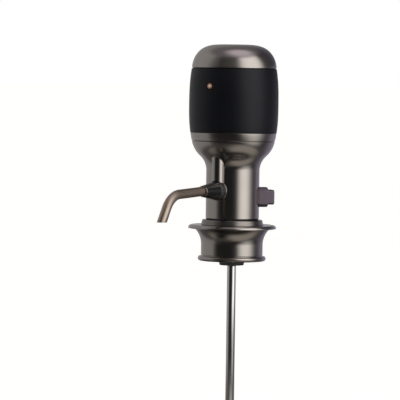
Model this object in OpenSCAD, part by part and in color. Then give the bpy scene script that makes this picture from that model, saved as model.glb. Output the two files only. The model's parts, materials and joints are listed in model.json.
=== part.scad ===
// Electric wine aerator: a battery pump head that plugs into a wine bottle. It draws wine up a dip tube,
// mixes air into it through a needle valve and pours it from a bent spout.
// The origin is on the axis, in the plane of the bottle's lip. +Z is up and the spout points along -Y.

/* [Bottle fit] */
// Radius of the stopper's sealing lands, for the bore of a bottle
bottle_bore_r = 9.25; // [8.75:0.05:10]
// Length of the stopper below the lip
stopper_len = 19; // [17:0.5:23]
// Length of the tapered nose at the stopper's end
stopper_nose = 4; // [2:0.25:6]
// Grooves between the stopper's lands
stopper_grooves = 3; // [2:1:4]
// Radius of the pad that rests on the lip
lip_pad_r = 16.5; // [14:0.25:17.5]
// Thickness of that pad
lip_pad_t = 2.5; // [1.5:0.1:3.5]
// Depth of the skirt below the lip
skirt_depth = 16; // [14:0.5:20]

/* [Base] */
// Radius of the skirt's waist
waist_r = 21.3; // [20.5:0.1:23.5]
// Wall of the skirt
skirt_wall = 2.7; // [1.8:0.1:3]
// Radius of the half-round bead at the skirt's foot
bead_round = 1.75; // [1.4:0.05:2.2]
// How far the bead stands out from the waist
bead_step = 2.2; // [1.8:0.1:2.8]
// Depth of the groove above the bead
groove_d = 0.5; // [0.2:0.05:0.9]
// Height of the groove above the bead
groove_h = 0.6; // [0.3:0.05:1]
// Radius of the flange
flange_r = 30.4; // [28:0.1:34]
// Thickness of the flange
flange_t = 2.7; // [1.6:0.1:3.2]
// Radius of the hollow curve under the flange
foot_flare_r = 15; // [12:0.5:18]
// Height of that curve
foot_flare_h = 10.9; // [8:0.25:11.5]
// Height of the ring on the flange
hub_h = 3.55; // [2.5:0.05:4.5]
// How far the ring stands out beyond the neck
hub_step = 2.3; // [1.2:0.1:3]
// How much wider the ring is at its foot
hub_taper = 0.8; // [0.2:0.1:1.5]
// Rounding of the ring's top edge
hub_edge = 0.8; // [0.3:0.1:1.2]
// Thickness of the web that holds the stopper
web_t = 2.5; // [1.8:0.1:3.5]
// Radius of the hole in the web
web_bore_r = 8; // [6.8:0.1:9]
// Depth of the socket that the head turns in
socket_depth = 7.4; // [6:0.05:9]
// Wall of the bush that lines the socket
socket_wall = 1.6; // [1:0.1:2.2]
// Height and reach of the stopper's holding lip above the web
stopper_lip = 1.2; // [0.8:0.1:1.6]

/* [Neck] */
// Radius of the neck
neck_r = 18.4; // [17.4:0.1:20]
// Wall of the neck and funnel
neck_wall = 2; // [1.4:0.1:2.4]
// Height of the straight part of the neck
neck_h = 32.9; // [32:0.1:38]
// Shadow gap between the base and the neck
shadow_gap = 0.9; // [0.5:0.1:1.5]
// How far the spigot's bearing is set in from the neck's bore
spigot_step = 1.4; // [0.8:0.1:2]
// Height of the spigot's plug inside the neck
spigot_plug_h = 6; // [5:0.25:7]
// Height that the funnel's curve would need to end upright
flare_h = 24.1; // [21:0.1:28]
// Share of the funnel's curve that is hollow
flare_split = 0.42; // [0.35:0.01:0.55]
// How far below the end of that curve the casing is split
seam_below = 3.8; // [3:0.1:5]

/* [Cover] */
// Largest radius of the grip
barrel_r = 30.84; // [29.8:0.02:34]
// How much narrower the funnel's curve would end
barrel_tuck = 1.8; // [1:0.05:2.5]
// How much narrower the grip is at the button
cap_drop = 1.48; // [0.8:0.02:2.5]
// Power of the grip's bulge
bulge_power = 2.75; // [2:0.05:4]
// Height of the metal ring under the sleeve
ring_h = 5.9; // [4.9:0.1:7]
// Thickness of the sleeve at its widest
sleeve_t = 3; // [2.2:0.1:3.4]
// Wall of the liner in the sleeve
liner_wall = 1.5; // [1:0.1:1.8]
// Thickness of the liner's web under the button
liner_web_t = 1.5; // [1:0.1:2]
// Gap at the seam between cover and funnel
seam_gap = 0.3; // [0.1:0.05:0.4]
// Wall from the funnel's rim to the bayonet ring
rim_wall = 2.35; // [2.2:0.05:2.8]
// Wall of the bayonet ring
bayonet_wall = 1.8; // [1.2:0.1:2.2]
// Turn that frees the cover
twist_angle = 30; // [20:1:40]
// Width of a bayonet lug
lug_angle = 14; // [8:1:18]
// Height of a bayonet lug
lug_h = 1.8; // [1.2:0.1:2]

/* [Button] */
// Height of the dome
cap_h = 16.1; // [14.5:0.1:19]
// Squareness of the dome seen from above its rim
cap_side_power = 4.4; // [3:0.1:6]
// Squareness of the dome's rise
cap_rise_power = 1.7; // [1.5:0.05:2.2]
// Wall of the dome
cap_wall = 1.1; // [0.8:0.1:1.3]
// Gap under the dome's rim
button_gap = 0.65; // [0.65:0.05:1.2]
// Travel of the button
button_travel = 0.35; // [0.25:0.05:0.5]
// How far the liner's lip stands up inside the dome's rim
lip_rise = 1; // [0.6:0.1:1.2]
// How far the button's carrier is set in from the dome
carrier_inset = 4.25; // [3.9:0.05:4.6]
// Wall of the button's carrier
carrier_wall = 1.5; // [1:0.1:2]
// Height of the carrier's plate above the rim
carrier_rise = 6.5; // [6:0.1:7]
// Mean radius of the spring
spring_r = 8.5; // [7.5:0.1:12]
// Thickness of the spring's wire
spring_wire = 0.8; // [0.5:0.05:0.9]
// Turns of the spring
spring_turns = 4; // [3:1:4]
// Height of the switch
switch_h = 4.6; // [4:0.1:5]
// Width of the switch
switch_w = 7; // [6:0.1:7.4]
// Radius of the switch's plunger
plunger_r = 1.75; // [1.2:0.05:2.2]
// Height of the plunger above the switch
plunger_rise = 2.3; // [1.9:0.1:2.6]

/* [Drive] */
// Gap between the battery carrier and the bayonet ring
carrier_room = 1.35; // [0.6:0.05:2]
// Gap between the cells and the motor
cell_gap = 0.55; // [0.5:0.05:1.5]
// Length of the motor's can
motor_len = 28; // [24:0.5:31]
// Radius of the motor's shaft
shaft_r = 1.15; // [1:0.05:1.5]
// Radius of a battery cell
cell_r = 5.25; // [5:0.05:5.4]
// Length of a battery cell
cell_len = 44.5; // [43.5:0.1:45.5]
// Battery cells in the ring
cell_count = 6; // [6:1:6]
// Thickness of the carrier's plates
plate_t = 1.8; // [1.4:0.1:2.4]
// Thickness of a contact
contact_t = 0.7; // [0.4:0.05:1]
// Height of the posts under the circuit board
standoff_h = 1.2; // [1:0.1:2]
// Thickness of the circuit board
board_t = 1.6; // [1:0.1:2]
// Space above the circuit board
headroom = 2.45; // [1.5:0.05:3]
// Height of the pump's frame
frame_h = 13.8; // [12.5:0.1:15]
// Height of the valve plate
valve_plate_h = 4.1; // [3.4:0.1:4.6]
// Height of the pump's head
head_h = 7.9; // [7:0.1:8.4]
// Radius of the indicator's lens
lens_r = 1.6; // [1.2:0.05:2.2]
// Depth of the indicator below the top of the sleeve
lens_drop = 11.9; // [9:0.1:16]

/* [Spout] */
// Height of the spout above the neck's foot
spout_h = 19.5; // [18:0.1:20.5]
// Radius of the spout's tube
spout_r = 3.2; // [2.8:0.05:3.4]
// Wall of the spout's tube
spout_wall = 0.55; // [0.4:0.05:0.8]
// Distance from the axis to the corner of the bend
spout_reach = 76.1; // [68:0.1:90]
// Radius of the bend
spout_bend_r = 18.5; // [11:0.5:22]
// Angle of the bend
spout_bend = 56.5; // [40:0.5:75]
// Droop of the tube beyond its ferrule
spout_droop = 2.6; // [0:0.1:5]
// Drop from the spout's axis to its mouth
spout_drop = 19.4; // [16:0.1:21]
// Radius of the port that carries the spout
port_r = 4.4; // [4.1:0.05:4.6]
// How far the port stands out of the neck
port_len = 9.4; // [7:0.1:10.5]
// Radius of the nut's base
nut_r = 6.6; // [6.2:0.05:7]
// Radius of the nut's tip
nut_tip_r = 3.9; // [3.7:0.05:4.6]
// Length of the nut
nut_len = 19.8; // [17:0.1:22]
// Length of the band at the nut's base
nut_band = 5.2; // [4:0.1:7]
// Depth of the flat seat for the nut in the neck's side
nut_seat = 0.7; // [0.5:0.05:0.8]
// Length of the ferrule beyond the nut
ferrule_len = 1.6; // [1:0.1:4]
// Radius of the raised duct over the outlet pipe
duct_r = 4.4; // [3.8:0.1:5]
// Radius of the outlet pipe behind the duct
outlet_r = 1.9; // [1.7:0.05:2.1]

/* [Air valve] */
// Height of the knob above the neck's foot
knob_h = 14.8; // [13.5:0.1:16]
// Angle from the spout round to the knob
knob_angle = 135; // [110:1:160]
// Radius of the knob
knob_r = 6.95; // [6.4:0.05:7.8]
// Depth of the knob's round part
knob_disc_t = 6.45; // [4:0.05:7.5]
// Length of the knob's square grip
knob_grip_len = 4.3; // [3:0.1:6]
// Half width between the knob's flats
knob_flat = 5.2; // [4:0.1:5.8]
// Height of the knob's square grip
knob_grip_h = 10.2; // [7:0.1:10.6]
// Flutes round the knob's rim
knob_flutes = 30; // [18:1:40]
// Running gap behind the knob
knob_gap = 0.3; // [0.3:0.05:0.8]
// Depth of the flat seat for the knob in the neck's side
knob_seat = 0.75; // [0.6:0.05:0.9]
// Radius of the valve's spindle
spindle_r = 1.5; // [1.2:0.05:1.8]
// Radius of the valve's bush
valve_bush_r = 4; // [3.6:0.05:4.4]

/* [Dip tube] */
// Radius of the upper tube
tube_r = 3.05; // [2.8:0.01:3.4]
// Wall of both tubes
tube_wall = 0.3; // [0.25:0.01:0.4]
// Length of the upper tube below the lip
upper_len = 150; // [130:1:180]
// Depth of the tube's tip below the lip
dip_depth = 272; // [240:1:290]
// Depth of the lower tube's hidden end below the lip
hidden_end = 80; // [70:1:85]

/* [Fits] */
// Gap between pieces that are fixed to each other
snug = 0.05; // [0.02:0.01:0.1]
// Clearance between neighbours that never touch
loose = 0.3; // [0.2:0.05:0.4]
// Radial running clearance of the head in its socket
swivel_run = 0.08; // [0.04:0.01:0.1]
// Radial running clearance of shafts, plungers and sliding tubes
shaft_run = 0.05; // [0.03:0.01:0.1]
// Radial running clearance of the cover on its bayonet
twist_run = 0.1; // [0.06:0.01:0.2]
// Clearance round the lugs in their slots
lug_run = 0.25; // [0.2:0.05:0.35]
// Section of the ring seals
seal_t = 1.5; // [1.2:0.05:1.6]

/* [Hidden] */
$fn = 96;

// Overlap of cutting solids past the face that they cut
cut = 1;

// Levels of the base
base_z0 = -skirt_depth;
web_z1 = lip_pad_t + web_t;
hub_z1 = web_z1 + socket_depth;
flange_z1 = hub_z1 - hub_h;
flange_z0 = flange_z1 - flange_t;
foot_z = flange_z0 - foot_flare_h;
skirt_in_r = waist_r - skirt_wall;

// Neck and spigot
tube_seat_h = 3.5;
tube_seal_h = 3;
passage_r = 2;
outlet_inset = 1.3;
neck_in_r = neck_r - neck_wall;
outlet_d = neck_in_r - outlet_inset;
neck_z0 = hub_z1 + shadow_gap;
spigot_r = neck_in_r - spigot_step;
spigot_z0 = web_z1 + stopper_lip + loose;
spigot_z1 = neck_z0 + spigot_plug_h;
socket_r = spigot_r + swivel_run;
bush_out_r = socket_r + socket_wall;
bush_seat_r = bush_out_r + snug;
hub_r = neck_r + hub_step;
spout_z = neck_z0 + spout_h;
knob_z = neck_z0 + knob_h;
tube_stop_z = spigot_z1 - tube_seat_h;
seal_z = (spigot_z0 + hub_z1) / 2;
tube_seal_z = spigot_z0 + tube_seal_h;

// Funnel: a hollow arc and a swelling arc that meet at the same slope
flare_z0 = neck_z0 + neck_h;
flare_end_r = barrel_r - barrel_tuck;
flare_turn = 2 * atan((flare_end_r - neck_r) / flare_h);
flare_sum = flare_h / sin(flare_turn);
hollow_r = flare_sum * flare_split;
swell_r = flare_sum - hollow_r;
hollow_c = [neck_r + hollow_r, flare_z0];
swell_c = [flare_end_r - swell_r, flare_z0 + flare_h];
seam_z = flare_z0 + flare_h - seam_below;
seam_turn = asin(seam_below / swell_r);
seam_r = swell_c[0] + swell_r * cos(seam_turn);

// Ring of cells inside the bayonet ring, with the motor in the middle
bayonet_r = seam_r - rim_wall;
bayonet_in_r = bayonet_r - bayonet_wall;
carrier_r = bayonet_in_r - carrier_room;
cell_ring_r = carrier_r - cell_r;
motor_r = cell_ring_r - cell_r - cell_gap;

// Carrier of the cells, seated where the funnel narrows to its rim
carrier_gap = 0.5;
post_out = 1.6;
board_overhang = 0.4;
top_inset = 1.2;
carrier_reach = carrier_r + carrier_gap - swell_c[0];
carrier_z0 = swell_c[1] - sqrt(pow(swell_r - neck_wall, 2) - pow(carrier_reach, 2));
post_ring_r = cell_ring_r + post_out;
cells_z0 = carrier_z0 + plate_t + contact_t;
cells_z1 = cells_z0 + cell_len;
top_z0 = cells_z1 + contact_t;
top_z1 = top_z0 + plate_t;
board_z0 = top_z1 + standoff_h;
board_z1 = board_z0 + board_t;
board_r = carrier_r + board_overhang;
top_r = carrier_r - top_inset;

// Cover
bayonet_root = 3;
bayonet_short = 0.7;
lug_lift = 1.05;
bayonet_z0 = seam_z - bayonet_root;
cover_z0 = seam_z + seam_gap;
sleeve_z0 = seam_z + ring_h;
sleeve_z1 = board_z1 + headroom + liner_web_t;
bayonet_z1 = sleeve_z0 - bayonet_short;
lug_z0 = cover_z0 + lug_lift;
liner_out_r = barrel_r - sleeve_t;
liner_in_r = liner_out_r - liner_wall;
lens_z = sleeve_z1 - lens_drop;

// Button
guide_wall = 1.4;
guide_spare = 0.5;
switch_room = 0.65;
cap_z0 = sleeve_z1 + button_gap;
cap_r = barrel_r - cap_drop;
cap_in_r = cap_r - cap_wall;
cap_in_h = cap_h - cap_wall;
lip_z1 = cap_z0 + lip_rise;
belly_z = (seam_z + cap_z0) / 2;
hat_r = cap_in_r - carrier_inset;
guide_r = hat_r - carrier_wall - shaft_run;
hat_z0 = cap_z0 + carrier_rise;
hat_z1 = hat_z0 + carrier_wall;
guide_z1 = hat_z0 - button_travel - guide_spare;
switch_z1 = board_z1 + switch_h;
post_z0 = switch_z1 + plunger_rise;
web_hole_r = switch_w * sqrt(2) / 2 + switch_room;

// Pump, hung from the carrier under the motor and clear of the outlet pipe
pump_room = 0.8;
drive_step = 0.2;
motor_lift = 7;
frame_top_t = 1.6;
sheet_t = 1.2;
cup_inset = 6;
cup_r = 2.7;
hose_r = 3;
outlet_rise = 4;
wobble_lift = 1.4;
wobble_t = 2.6;
crank_gap = 0.8;
crank_clear = 1.5;
crank_throw = 2;
crank_pin_r = 1;
block_rise = 2.6;
pump_r = outlet_d - outlet_r - pump_room;
drive_r = motor_r + drive_step;
motor_z0 = carrier_z0 + motor_lift;
motor_z1 = motor_z0 + motor_len;
frame_z0 = motor_z0 - frame_h;
sheet_z0 = frame_z0 - sheet_t;
valve_z0 = sheet_z0 - valve_plate_h;
head_z0 = valve_z0 - head_h;
block_z1 = spout_z + block_rise;
hose_len = head_z0 - block_z1;
hose_end_gap = 0.2;
outlet_z = head_z0 + outlet_rise;
cup_ring_r = pump_r - cup_inset;
pump_screw_ring_r = pump_r - 1.5;
wobble_z0 = frame_z0 + wobble_lift;
wobble_z1 = wobble_z0 + wobble_t;
crank_z0 = wobble_z1 + crank_gap;
crank_z1 = motor_z0 - frame_top_t - crank_clear;

// End bell and tabs of the motor
bell_t = 2.6;
bell_z1 = motor_z1 + bell_t;
tab_h = 2.4;
tab_x = 6.5;

// Spout and valve, as distances from the axis
port_flange = 1.4;
port_back = 0.6;
spout_seat = 2;
block_r = 10;
arm_len = 2;
spindle_inset = 2;
valve_seal_depth = 1.2;
seat_d = neck_r - nut_seat;
nut_d0 = seat_d + snug;
nut_d1 = nut_d0 + nut_len;
port_end = seat_d + port_len;
ferrule_d1 = nut_d1 + ferrule_len;
droop_d = ferrule_d1 + 2 * snug;
bend_d = spout_reach - droop_d - spout_bend_r * tan(spout_bend / 2);
port_in = outlet_d - outlet_r - port_back;
knob_face = neck_r - knob_seat;
knob_d0 = knob_face + knob_gap;
knob_d1 = knob_d0 + knob_disc_t;
knob_d2 = knob_d1 + knob_grip_len;
valve_arm = block_r + arm_len;
valve_seal_d = knob_face - valve_seal_depth - seal_t;

// Dip tube
lower_r = tube_r - tube_wall - shaft_run;

// Screws
screw_r = 0.9;
screw_bore_r = screw_r + snug;
screw_head_r = 1.8;
screw_head_h = 0.9;

metal = [0.42, 0.41, 0.40];
dark = [0.10, 0.10, 0.11];
steel = [0.70, 0.70, 0.71];
resin = [0.80, 0.80, 0.77];
silicone = [0.16, 0.16, 0.17];
copper = [0.72, 0.45, 0.28];
amber = [0.95, 0.55, 0.25];
board_green = [0.10, 0.30, 0.18];

function arc(c, r, a0, a1, n) = [for (i = [0:n]) let (a = a0 + (a1 - a0) * i / n)
  c + r * [cos(a), sin(a)]];

// Radius of the cover at a height
function barrel_at(z) = let (low = z < belly_z, drop = low ? barrel_r - seam_r : cap_drop)
  barrel_r - drop * pow(abs(z - belly_z) / (low ? belly_z - seam_z : cap_z0 - belly_z), bulge_power);
function barrel_points(z0, z1, n) = [for (i = [0:n]) let (z = z0 + (z1 - z0) * i / n) [barrel_at(z), z]];

// Points up the funnel, a wall's thickness inside its outer face
function flare_points(inset) = concat(
  arc(hollow_c, hollow_r + inset, 180, 180 - flare_turn, 14),
  arc(swell_c, swell_r - inset, -flare_turn, -asin(seam_below / (swell_r - inset)), 16)
);

// Points up a dome, from its rim to its crown
function dome_points(r, h, n) = [for (i = [0:n]) let (a = 90 * i / n)
  [r * pow(max(cos(a), 0), 2 / cap_side_power), cap_z0 + h * pow(sin(a), 2 / cap_rise_power)]];

// Radius of a dome at a height above its rim
function dome_at(r, h, rise) = r * pow(cos(asin(pow(rise / h, cap_rise_power / 2))), 2 / cap_side_power);

module ring(r_in, r_out, z0, z1) {
  rotate_extrude() translate([r_in, z0]) square([r_out - r_in, z1 - z0]);
}

module rod(r, z0, z1) {
  translate([0, 0, z0]) cylinder(r = r, h = z1 - z0);
}

// Places children round the axis, starting from the front
module around(count, radius, start) {
  for (i = [0:count - 1]) rotate([0, 0, start + 360 * i / count]) translate([0, -radius, 0]) children();
}

// Turns +Z to the front, at a height
module facing_front(z) {
  translate([0, 0, z]) rotate([90, 0, 0]) children();
}

// Turns +Z towards the knob
module facing_knob() {
  rotate([0, 0, knob_angle]) facing_front(knob_z) children();
}

module seal(r, t, z) {
  rotate_extrude() translate([r + t / 2, z]) circle(d = t);
}

module screw(z, length) {
  rod(screw_head_r, z, z + screw_head_h);
  rod(screw_r, z - length, z + screw_head_h / 2);
}

module base_collar() {
  turn = asin(foot_flare_h / foot_flare_r);
  bead_top = base_z0 + 2 * bead_round;
  groove_r = waist_r - groove_d;
  color(metal) rotate_extrude() polygon(concat(
    [[skirt_in_r, base_z0]],
    arc([waist_r + bead_step - bead_round, base_z0 + bead_round], bead_round, -90, 90, 14),
    [[groove_r, bead_top], [groove_r, bead_top + groove_h], [waist_r, bead_top + groove_h]],
    arc([waist_r + foot_flare_r, foot_z], foot_flare_r, 180, 180 - turn, 12),
    arc([flange_r - flange_t / 2, flange_z0 + flange_t / 2], flange_t / 2, -90, 90, 10),
    [[bush_seat_r, flange_z1], [bush_seat_r, web_z1], [web_bore_r, web_z1]],
    [[web_bore_r, lip_pad_t], [skirt_in_r, lip_pad_t]]
  ));
}

module hub_ring() {
  color(metal) rotate_extrude() polygon(concat(
    [[bush_seat_r, flange_z1], [hub_r + hub_taper, flange_z1]],
    arc([hub_r - hub_edge, hub_z1 - hub_edge], hub_edge, 0, 90, 8),
    [[bush_seat_r, hub_z1]]
  ));
}

// The bush's collar keeps the neck off the ring
module socket_bush() {
  collar_inset = 0.3;
  collar_r = neck_r - collar_inset;
  collar_z1 = neck_z0 - loose;
  color(dark) rotate_extrude() polygon([
    [socket_r, web_z1], [bush_out_r, web_z1], [bush_out_r, hub_z1], [collar_r, hub_z1],
    [collar_r, collar_z1], [socket_r, collar_z1]
  ]);
}

module bottle_stopper() {
  bore = tube_r + 2 * shaft_run;
  neck = web_bore_r - snug;
  tip_step = 1;
  groove_w = 1.2;
  groove_depth = 0.6;
  land_z0 = -stopper_len + stopper_nose;
  pitch = -land_z0 / (stopper_grooves + 1);
  vent_r = 0.9;
  top = web_z1 + stopper_lip;
  color(silicone) difference() {
    rotate_extrude() polygon(concat(
      [[bore, -stopper_len], [bottle_bore_r - tip_step, -stopper_len], [bottle_bore_r, land_z0]],
      [for (i = [1:stopper_grooves], p = [[0, -1], [1, -1], [1, 1], [0, 1]])
        [bottle_bore_r - p[0] * groove_depth, land_z0 + i * pitch + p[1] * groove_w / 2]],
      [[bottle_bore_r, 0], [lip_pad_r, 0], [lip_pad_r, lip_pad_t], [neck, lip_pad_t], [neck, web_z1],
        [neck + stopper_lip, web_z1], [neck, top], [bore, top]]
    ));
    translate([0, (bore + neck) / 2, 0]) rod(vent_r, -stopper_len - cut, top + cut);
  }
}

// Solid inside the neck and funnel's outer face
module neck_form() {
  rotate_extrude() polygon(concat([[0, neck_z0], [neck_r, neck_z0]], flare_points(0), [[0, seam_z]]));
}

module neck_hollow() {
  points = flare_points(neck_wall);
  last = points[len(points) - 1];
  rotate_extrude() polygon(concat(
    [[0, neck_z0 - cut], [neck_in_r, neck_z0 - cut]], points, [[last[0], seam_z + cut], [0, seam_z + cut]]
  ));
}

module neck_shell() {
  duct_top = flare_z0 + flare_h / 2;
  inner = neck_in_r / 2;
  post_r = 2.6;
  screw_depth = 5;
  groove_r = outlet_r + loose;
  color(metal) difference() {
    union() {
      difference() {
        union() {
          neck_form();
          translate([0, -neck_r, 0]) rod(duct_r, spout_z, duct_top);
        }
        neck_hollow();
      }
      intersection() {
        neck_form();
        around(3, post_ring_r, 60) rod(post_r, flare_z0, carrier_z0);
      }
    }
    rod(bayonet_r + snug, bayonet_z0, seam_z + cut);
    facing_front(spout_z) rod(port_r + snug, inner, seat_d + cut);
    facing_front(spout_z) rod(nut_r + loose, seat_d, neck_r + duct_r + cut);
    translate([0, -outlet_d, 0]) rod(groove_r, spout_z, outlet_z + groove_r);
    facing_knob() rod(valve_bush_r + snug, inner, knob_face + cut);
    facing_knob() rod(knob_r + loose, knob_face, neck_r + cut);
    around(3, post_ring_r, 60) rod(screw_bore_r, carrier_z0 - screw_depth, carrier_z0 + cut);
  }
}

// Slots take the lugs down at the free end of the twist and along to the locked end
module bayonet_ring() {
  slot_spare = 2;
  slot_angle = lug_angle + slot_spare;
  slot_z0 = lug_z0 - lug_run;
  slot_h = lug_h + 2 * lug_run;
  depth = bayonet_wall + 2 * cut;
  color(dark) difference() {
    ring(bayonet_in_r, bayonet_r, bayonet_z0, bayonet_z1);
    for (i = [0:2]) rotate([0, 0, 120 * i - slot_angle / 2]) {
      rotate_extrude(angle = slot_angle + twist_angle)
        translate([bayonet_in_r - cut, slot_z0]) square([depth, slot_h]);
      rotate([0, 0, twist_angle]) rotate_extrude(angle = slot_angle)
        translate([bayonet_in_r - cut, slot_z0]) square([depth, bayonet_z1 - slot_z0 + cut]);
    }
  }
}

module spigot() {
  groove_r = socket_r - seal_t - 2 * snug;
  half = seal_t / 2 + snug;
  color(resin) difference() {
    union() {
      rod(spigot_r, spigot_z0, neck_z0);
      rod(neck_in_r - snug, neck_z0, spigot_z1);
    }
    ring(groove_r, spigot_r + cut, seal_z - half, seal_z + half);
    rod(tube_r + snug, spigot_z0 - cut, tube_stop_z);
    rod(tube_r + seal_t + 2 * snug, tube_seal_z - half, tube_seal_z + half);
    rod(passage_r, spigot_z0, spigot_z1 + cut);
  }
}

module spigot_oring() {
  color(silicone) seal(socket_r - seal_t - snug, seal_t, seal_z);
}

module tube_seal() {
  color(silicone) seal(tube_r + snug, seal_t, tube_seal_z);
}

module dip_tube_upper() {
  color(steel) ring(tube_r - tube_wall, tube_r, -upper_len, tube_stop_z);
}

module tube_collar() {
  wall = 0.8;
  grip = 4;
  hold = 6;
  color(dark) difference() {
    rod(tube_r + wall, -upper_len - grip, -upper_len + hold);
    rod(tube_r + snug, -upper_len, -upper_len + hold + cut);
    rod(lower_r + shaft_run, -upper_len - grip - cut, -upper_len + cut);
  }
}

// The tip is notched so that it can stand on the bottle's floor
module dip_tube_lower() {
  notch_w = 2;
  notch_h = 4;
  color(steel) difference() {
    ring(lower_r - tube_wall, lower_r, -dip_depth, -hidden_end);
    for (a = [0, 90]) rotate([0, 0, a]) translate([-notch_w / 2, -2 * lower_r, -dip_depth - cut])
      cube([notch_w, 4 * lower_r, notch_h + cut]);
  }
}

module mixing_block() {
  arm_wall = 0.6;
  color(resin) difference() {
    union() {
      rod(block_r, spigot_z1, block_z1);
      rod(hose_r, block_z1, block_z1 + (hose_len - hose_end_gap) / 2);
      facing_knob() rod(valve_bush_r + arm_wall, 0, valve_arm);
    }
    rod(passage_r, spigot_z1 - cut, head_z0);
    facing_knob() rod(spindle_r + shaft_run, 0, valve_arm + cut);
  }
}

module riser_hose() {
  wall = 1.4;
  color(silicone) ring(hose_r + snug, hose_r + wall, block_z1, head_z0);
}

module pump_head() {
  gallery_r = 5.4;
  gallery_w = 2;
  gallery_d = 1.9;
  gallery_mid = gallery_r + gallery_w / 2;
  drop_r = 0.9;
  bore_r = 1.2;
  pipe_depth = 3;
  color(resin) difference() {
    union() {
      rod(pump_r, head_z0, valve_z0);
      rod(hose_r, head_z0 - (hose_len - hose_end_gap) / 2, head_z0 + cut);
    }
    rod(passage_r, block_z1, valve_z0 + cut);
    ring(gallery_r, gallery_r + gallery_w, valve_z0 - gallery_d, valve_z0 + cut);
    translate([0, -gallery_mid, 0]) rod(drop_r, outlet_z, valve_z0);
    facing_front(outlet_z) rod(bore_r, gallery_mid, pump_r + cut);
    facing_front(outlet_z) rod(outlet_r + snug, pump_r - pipe_depth, pump_r + cut);
    around(3, pump_screw_ring_r, 60) rod(screw_bore_r, head_z0 - cut, valve_z0 + cut);
  }
}

module valve_plate() {
  cup_d = 1.8;
  hole_r = 0.6;
  hole_step = 1.2;
  color(resin) difference() {
    rod(pump_r, valve_z0, sheet_z0);
    around(3, cup_ring_r, 0) rod(cup_r + loose, sheet_z0 - cup_d, sheet_z0 + cut);
    for (s = [-1, 1]) around(3, cup_ring_r + s * hole_step, 0) rod(hole_r, valve_z0 - cut, sheet_z0);
    around(3, pump_screw_ring_r, 60) rod(screw_bore_r, valve_z0 - cut, sheet_z0 + cut);
  }
}

module diaphragm() {
  cup_d = 1.4;
  stem_r = 1.2;
  color(silicone) difference() {
    union() {
      rod(pump_r, sheet_z0, frame_z0);
      around(3, cup_ring_r, 0) rod(cup_r, sheet_z0 - cup_d, sheet_z0 + sheet_t / 2);
      around(3, cup_ring_r, 0) rod(stem_r, frame_z0 - sheet_t / 2, wobble_z0);
    }
    around(3, pump_screw_ring_r, 60) rod(screw_bore_r, sheet_z0 - cut, frame_z0 + cut);
  }
}

module wobble_plate() {
  hub = 5.2;
  arm_w = 3.6;
  arm_over = 1.6;
  hole_r = crank_throw + crank_pin_r + 0.4;
  color(dark) difference() {
    union() {
      rod(hub, wobble_z0, wobble_z1);
      around(3, 0, 0) translate([-arm_w / 2, -cup_ring_r - arm_over, wobble_z0])
        cube([arm_w, cup_ring_r, wobble_t]);
    }
    rod(hole_r, wobble_z0 - cut, wobble_z1 + cut);
  }
}

module pump_frame() {
  wall = 3;
  flange_w = 3.2;
  flange_h = 1.8;
  screw_depth = 4.5;
  shaft_gap = 1;
  color(dark) difference() {
    union() {
      rod(pump_r, frame_z0, carrier_z0);
      rod(drive_r, carrier_z0 - flange_h, motor_z0);
      rod(drive_r + flange_w, carrier_z0 - flange_h, carrier_z0);
    }
    rod(pump_r - wall, frame_z0 - cut, carrier_z0 - flange_h);
    rod(drive_r - wall, frame_z0, motor_z0 - frame_top_t);
    rod(shaft_r + shaft_gap, frame_z0, motor_z0 + cut);
    around(3, pump_screw_ring_r, 60) rod(screw_bore_r, frame_z0 - cut, frame_z0 + screw_depth);
  }
}

module pump_screws() {
  head_r = 1.4;
  bite = 4;
  color(steel) around(3, pump_screw_ring_r, 60) {
    rod(head_r, head_z0 - screw_head_h, head_z0);
    rod(screw_r, head_z0 - screw_head_h / 2, frame_z0 + bite);
  }
}

module motor_can() {
  wall = 2.6;
  end_t = 1.4;
  color(steel) difference() {
    rod(motor_r, motor_z0, motor_z1);
    rod(motor_r - wall, motor_z0 + end_t, motor_z1 + cut);
    rod(shaft_r + shaft_run, motor_z0 - cut, motor_z0 + end_t + cut);
  }
}

module motor_bell() {
  tab_w = 2.4;
  tab_t = 0.5;
  skin = 0.6;
  color(dark) difference() {
    union() {
      rod(motor_r, motor_z1, bell_z1);
      for (s = [-1, 1]) translate([s * tab_x - tab_w / 2, -tab_t / 2, motor_z1 + bell_t / 2])
        cube([tab_w, tab_t, tab_h + bell_t / 2]);
    }
    rod(shaft_r + shaft_run, motor_z1 - cut, bell_z1 - skin);
  }
}

module motor_leads() {
  lead_r = 0.7;
  color(copper) for (s = [-1, 1]) translate([s * tab_x, 0, 0]) rod(lead_r, bell_z1 + tab_h, board_z0);
}

module motor_rotor() {
  core_inset = 3.2;
  core_short = 6;
  brush_r = 3;
  brush_end = 1.5;
  tail = 1.2;
  color(steel) union() {
    rod(shaft_r, crank_z0, bell_z1 - tail);
    rod(motor_r - core_inset, motor_z0 + core_short, motor_z1 - core_short);
    rod(brush_r, motor_z1 - core_short - cut / 2, motor_z1 - brush_end);
  }
}

module eccentric() {
  disc_r = 5.4;
  pin_lift = 0.8;
  color(resin) difference() {
    union() {
      rod(disc_r, crank_z0, crank_z1);
      translate([crank_throw, 0, 0]) rod(crank_pin_r, wobble_z0 + pin_lift, crank_z0 + cut);
    }
    rod(shaft_r + snug, crank_z0 - snug, crank_z1 + cut);
  }
}

port_top = spout_z + 1.2;
pipe_bore_r = 1.1;

module outlet_pipe() {
  root = pump_r - 2.9;
  color(silicone) difference() {
    union() {
      facing_front(outlet_z) rod(outlet_r, root, outlet_d);
      translate([0, -outlet_d, outlet_z]) sphere(r = outlet_r);
      translate([0, -outlet_d, 0]) rod(outlet_r, port_top, outlet_z);
    }
    facing_front(outlet_z) rod(pipe_bore_r, root - cut, outlet_d);
    translate([0, -outlet_d, 0]) rod(pipe_bore_r, port_top - cut, outlet_z);
  }
}

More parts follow.
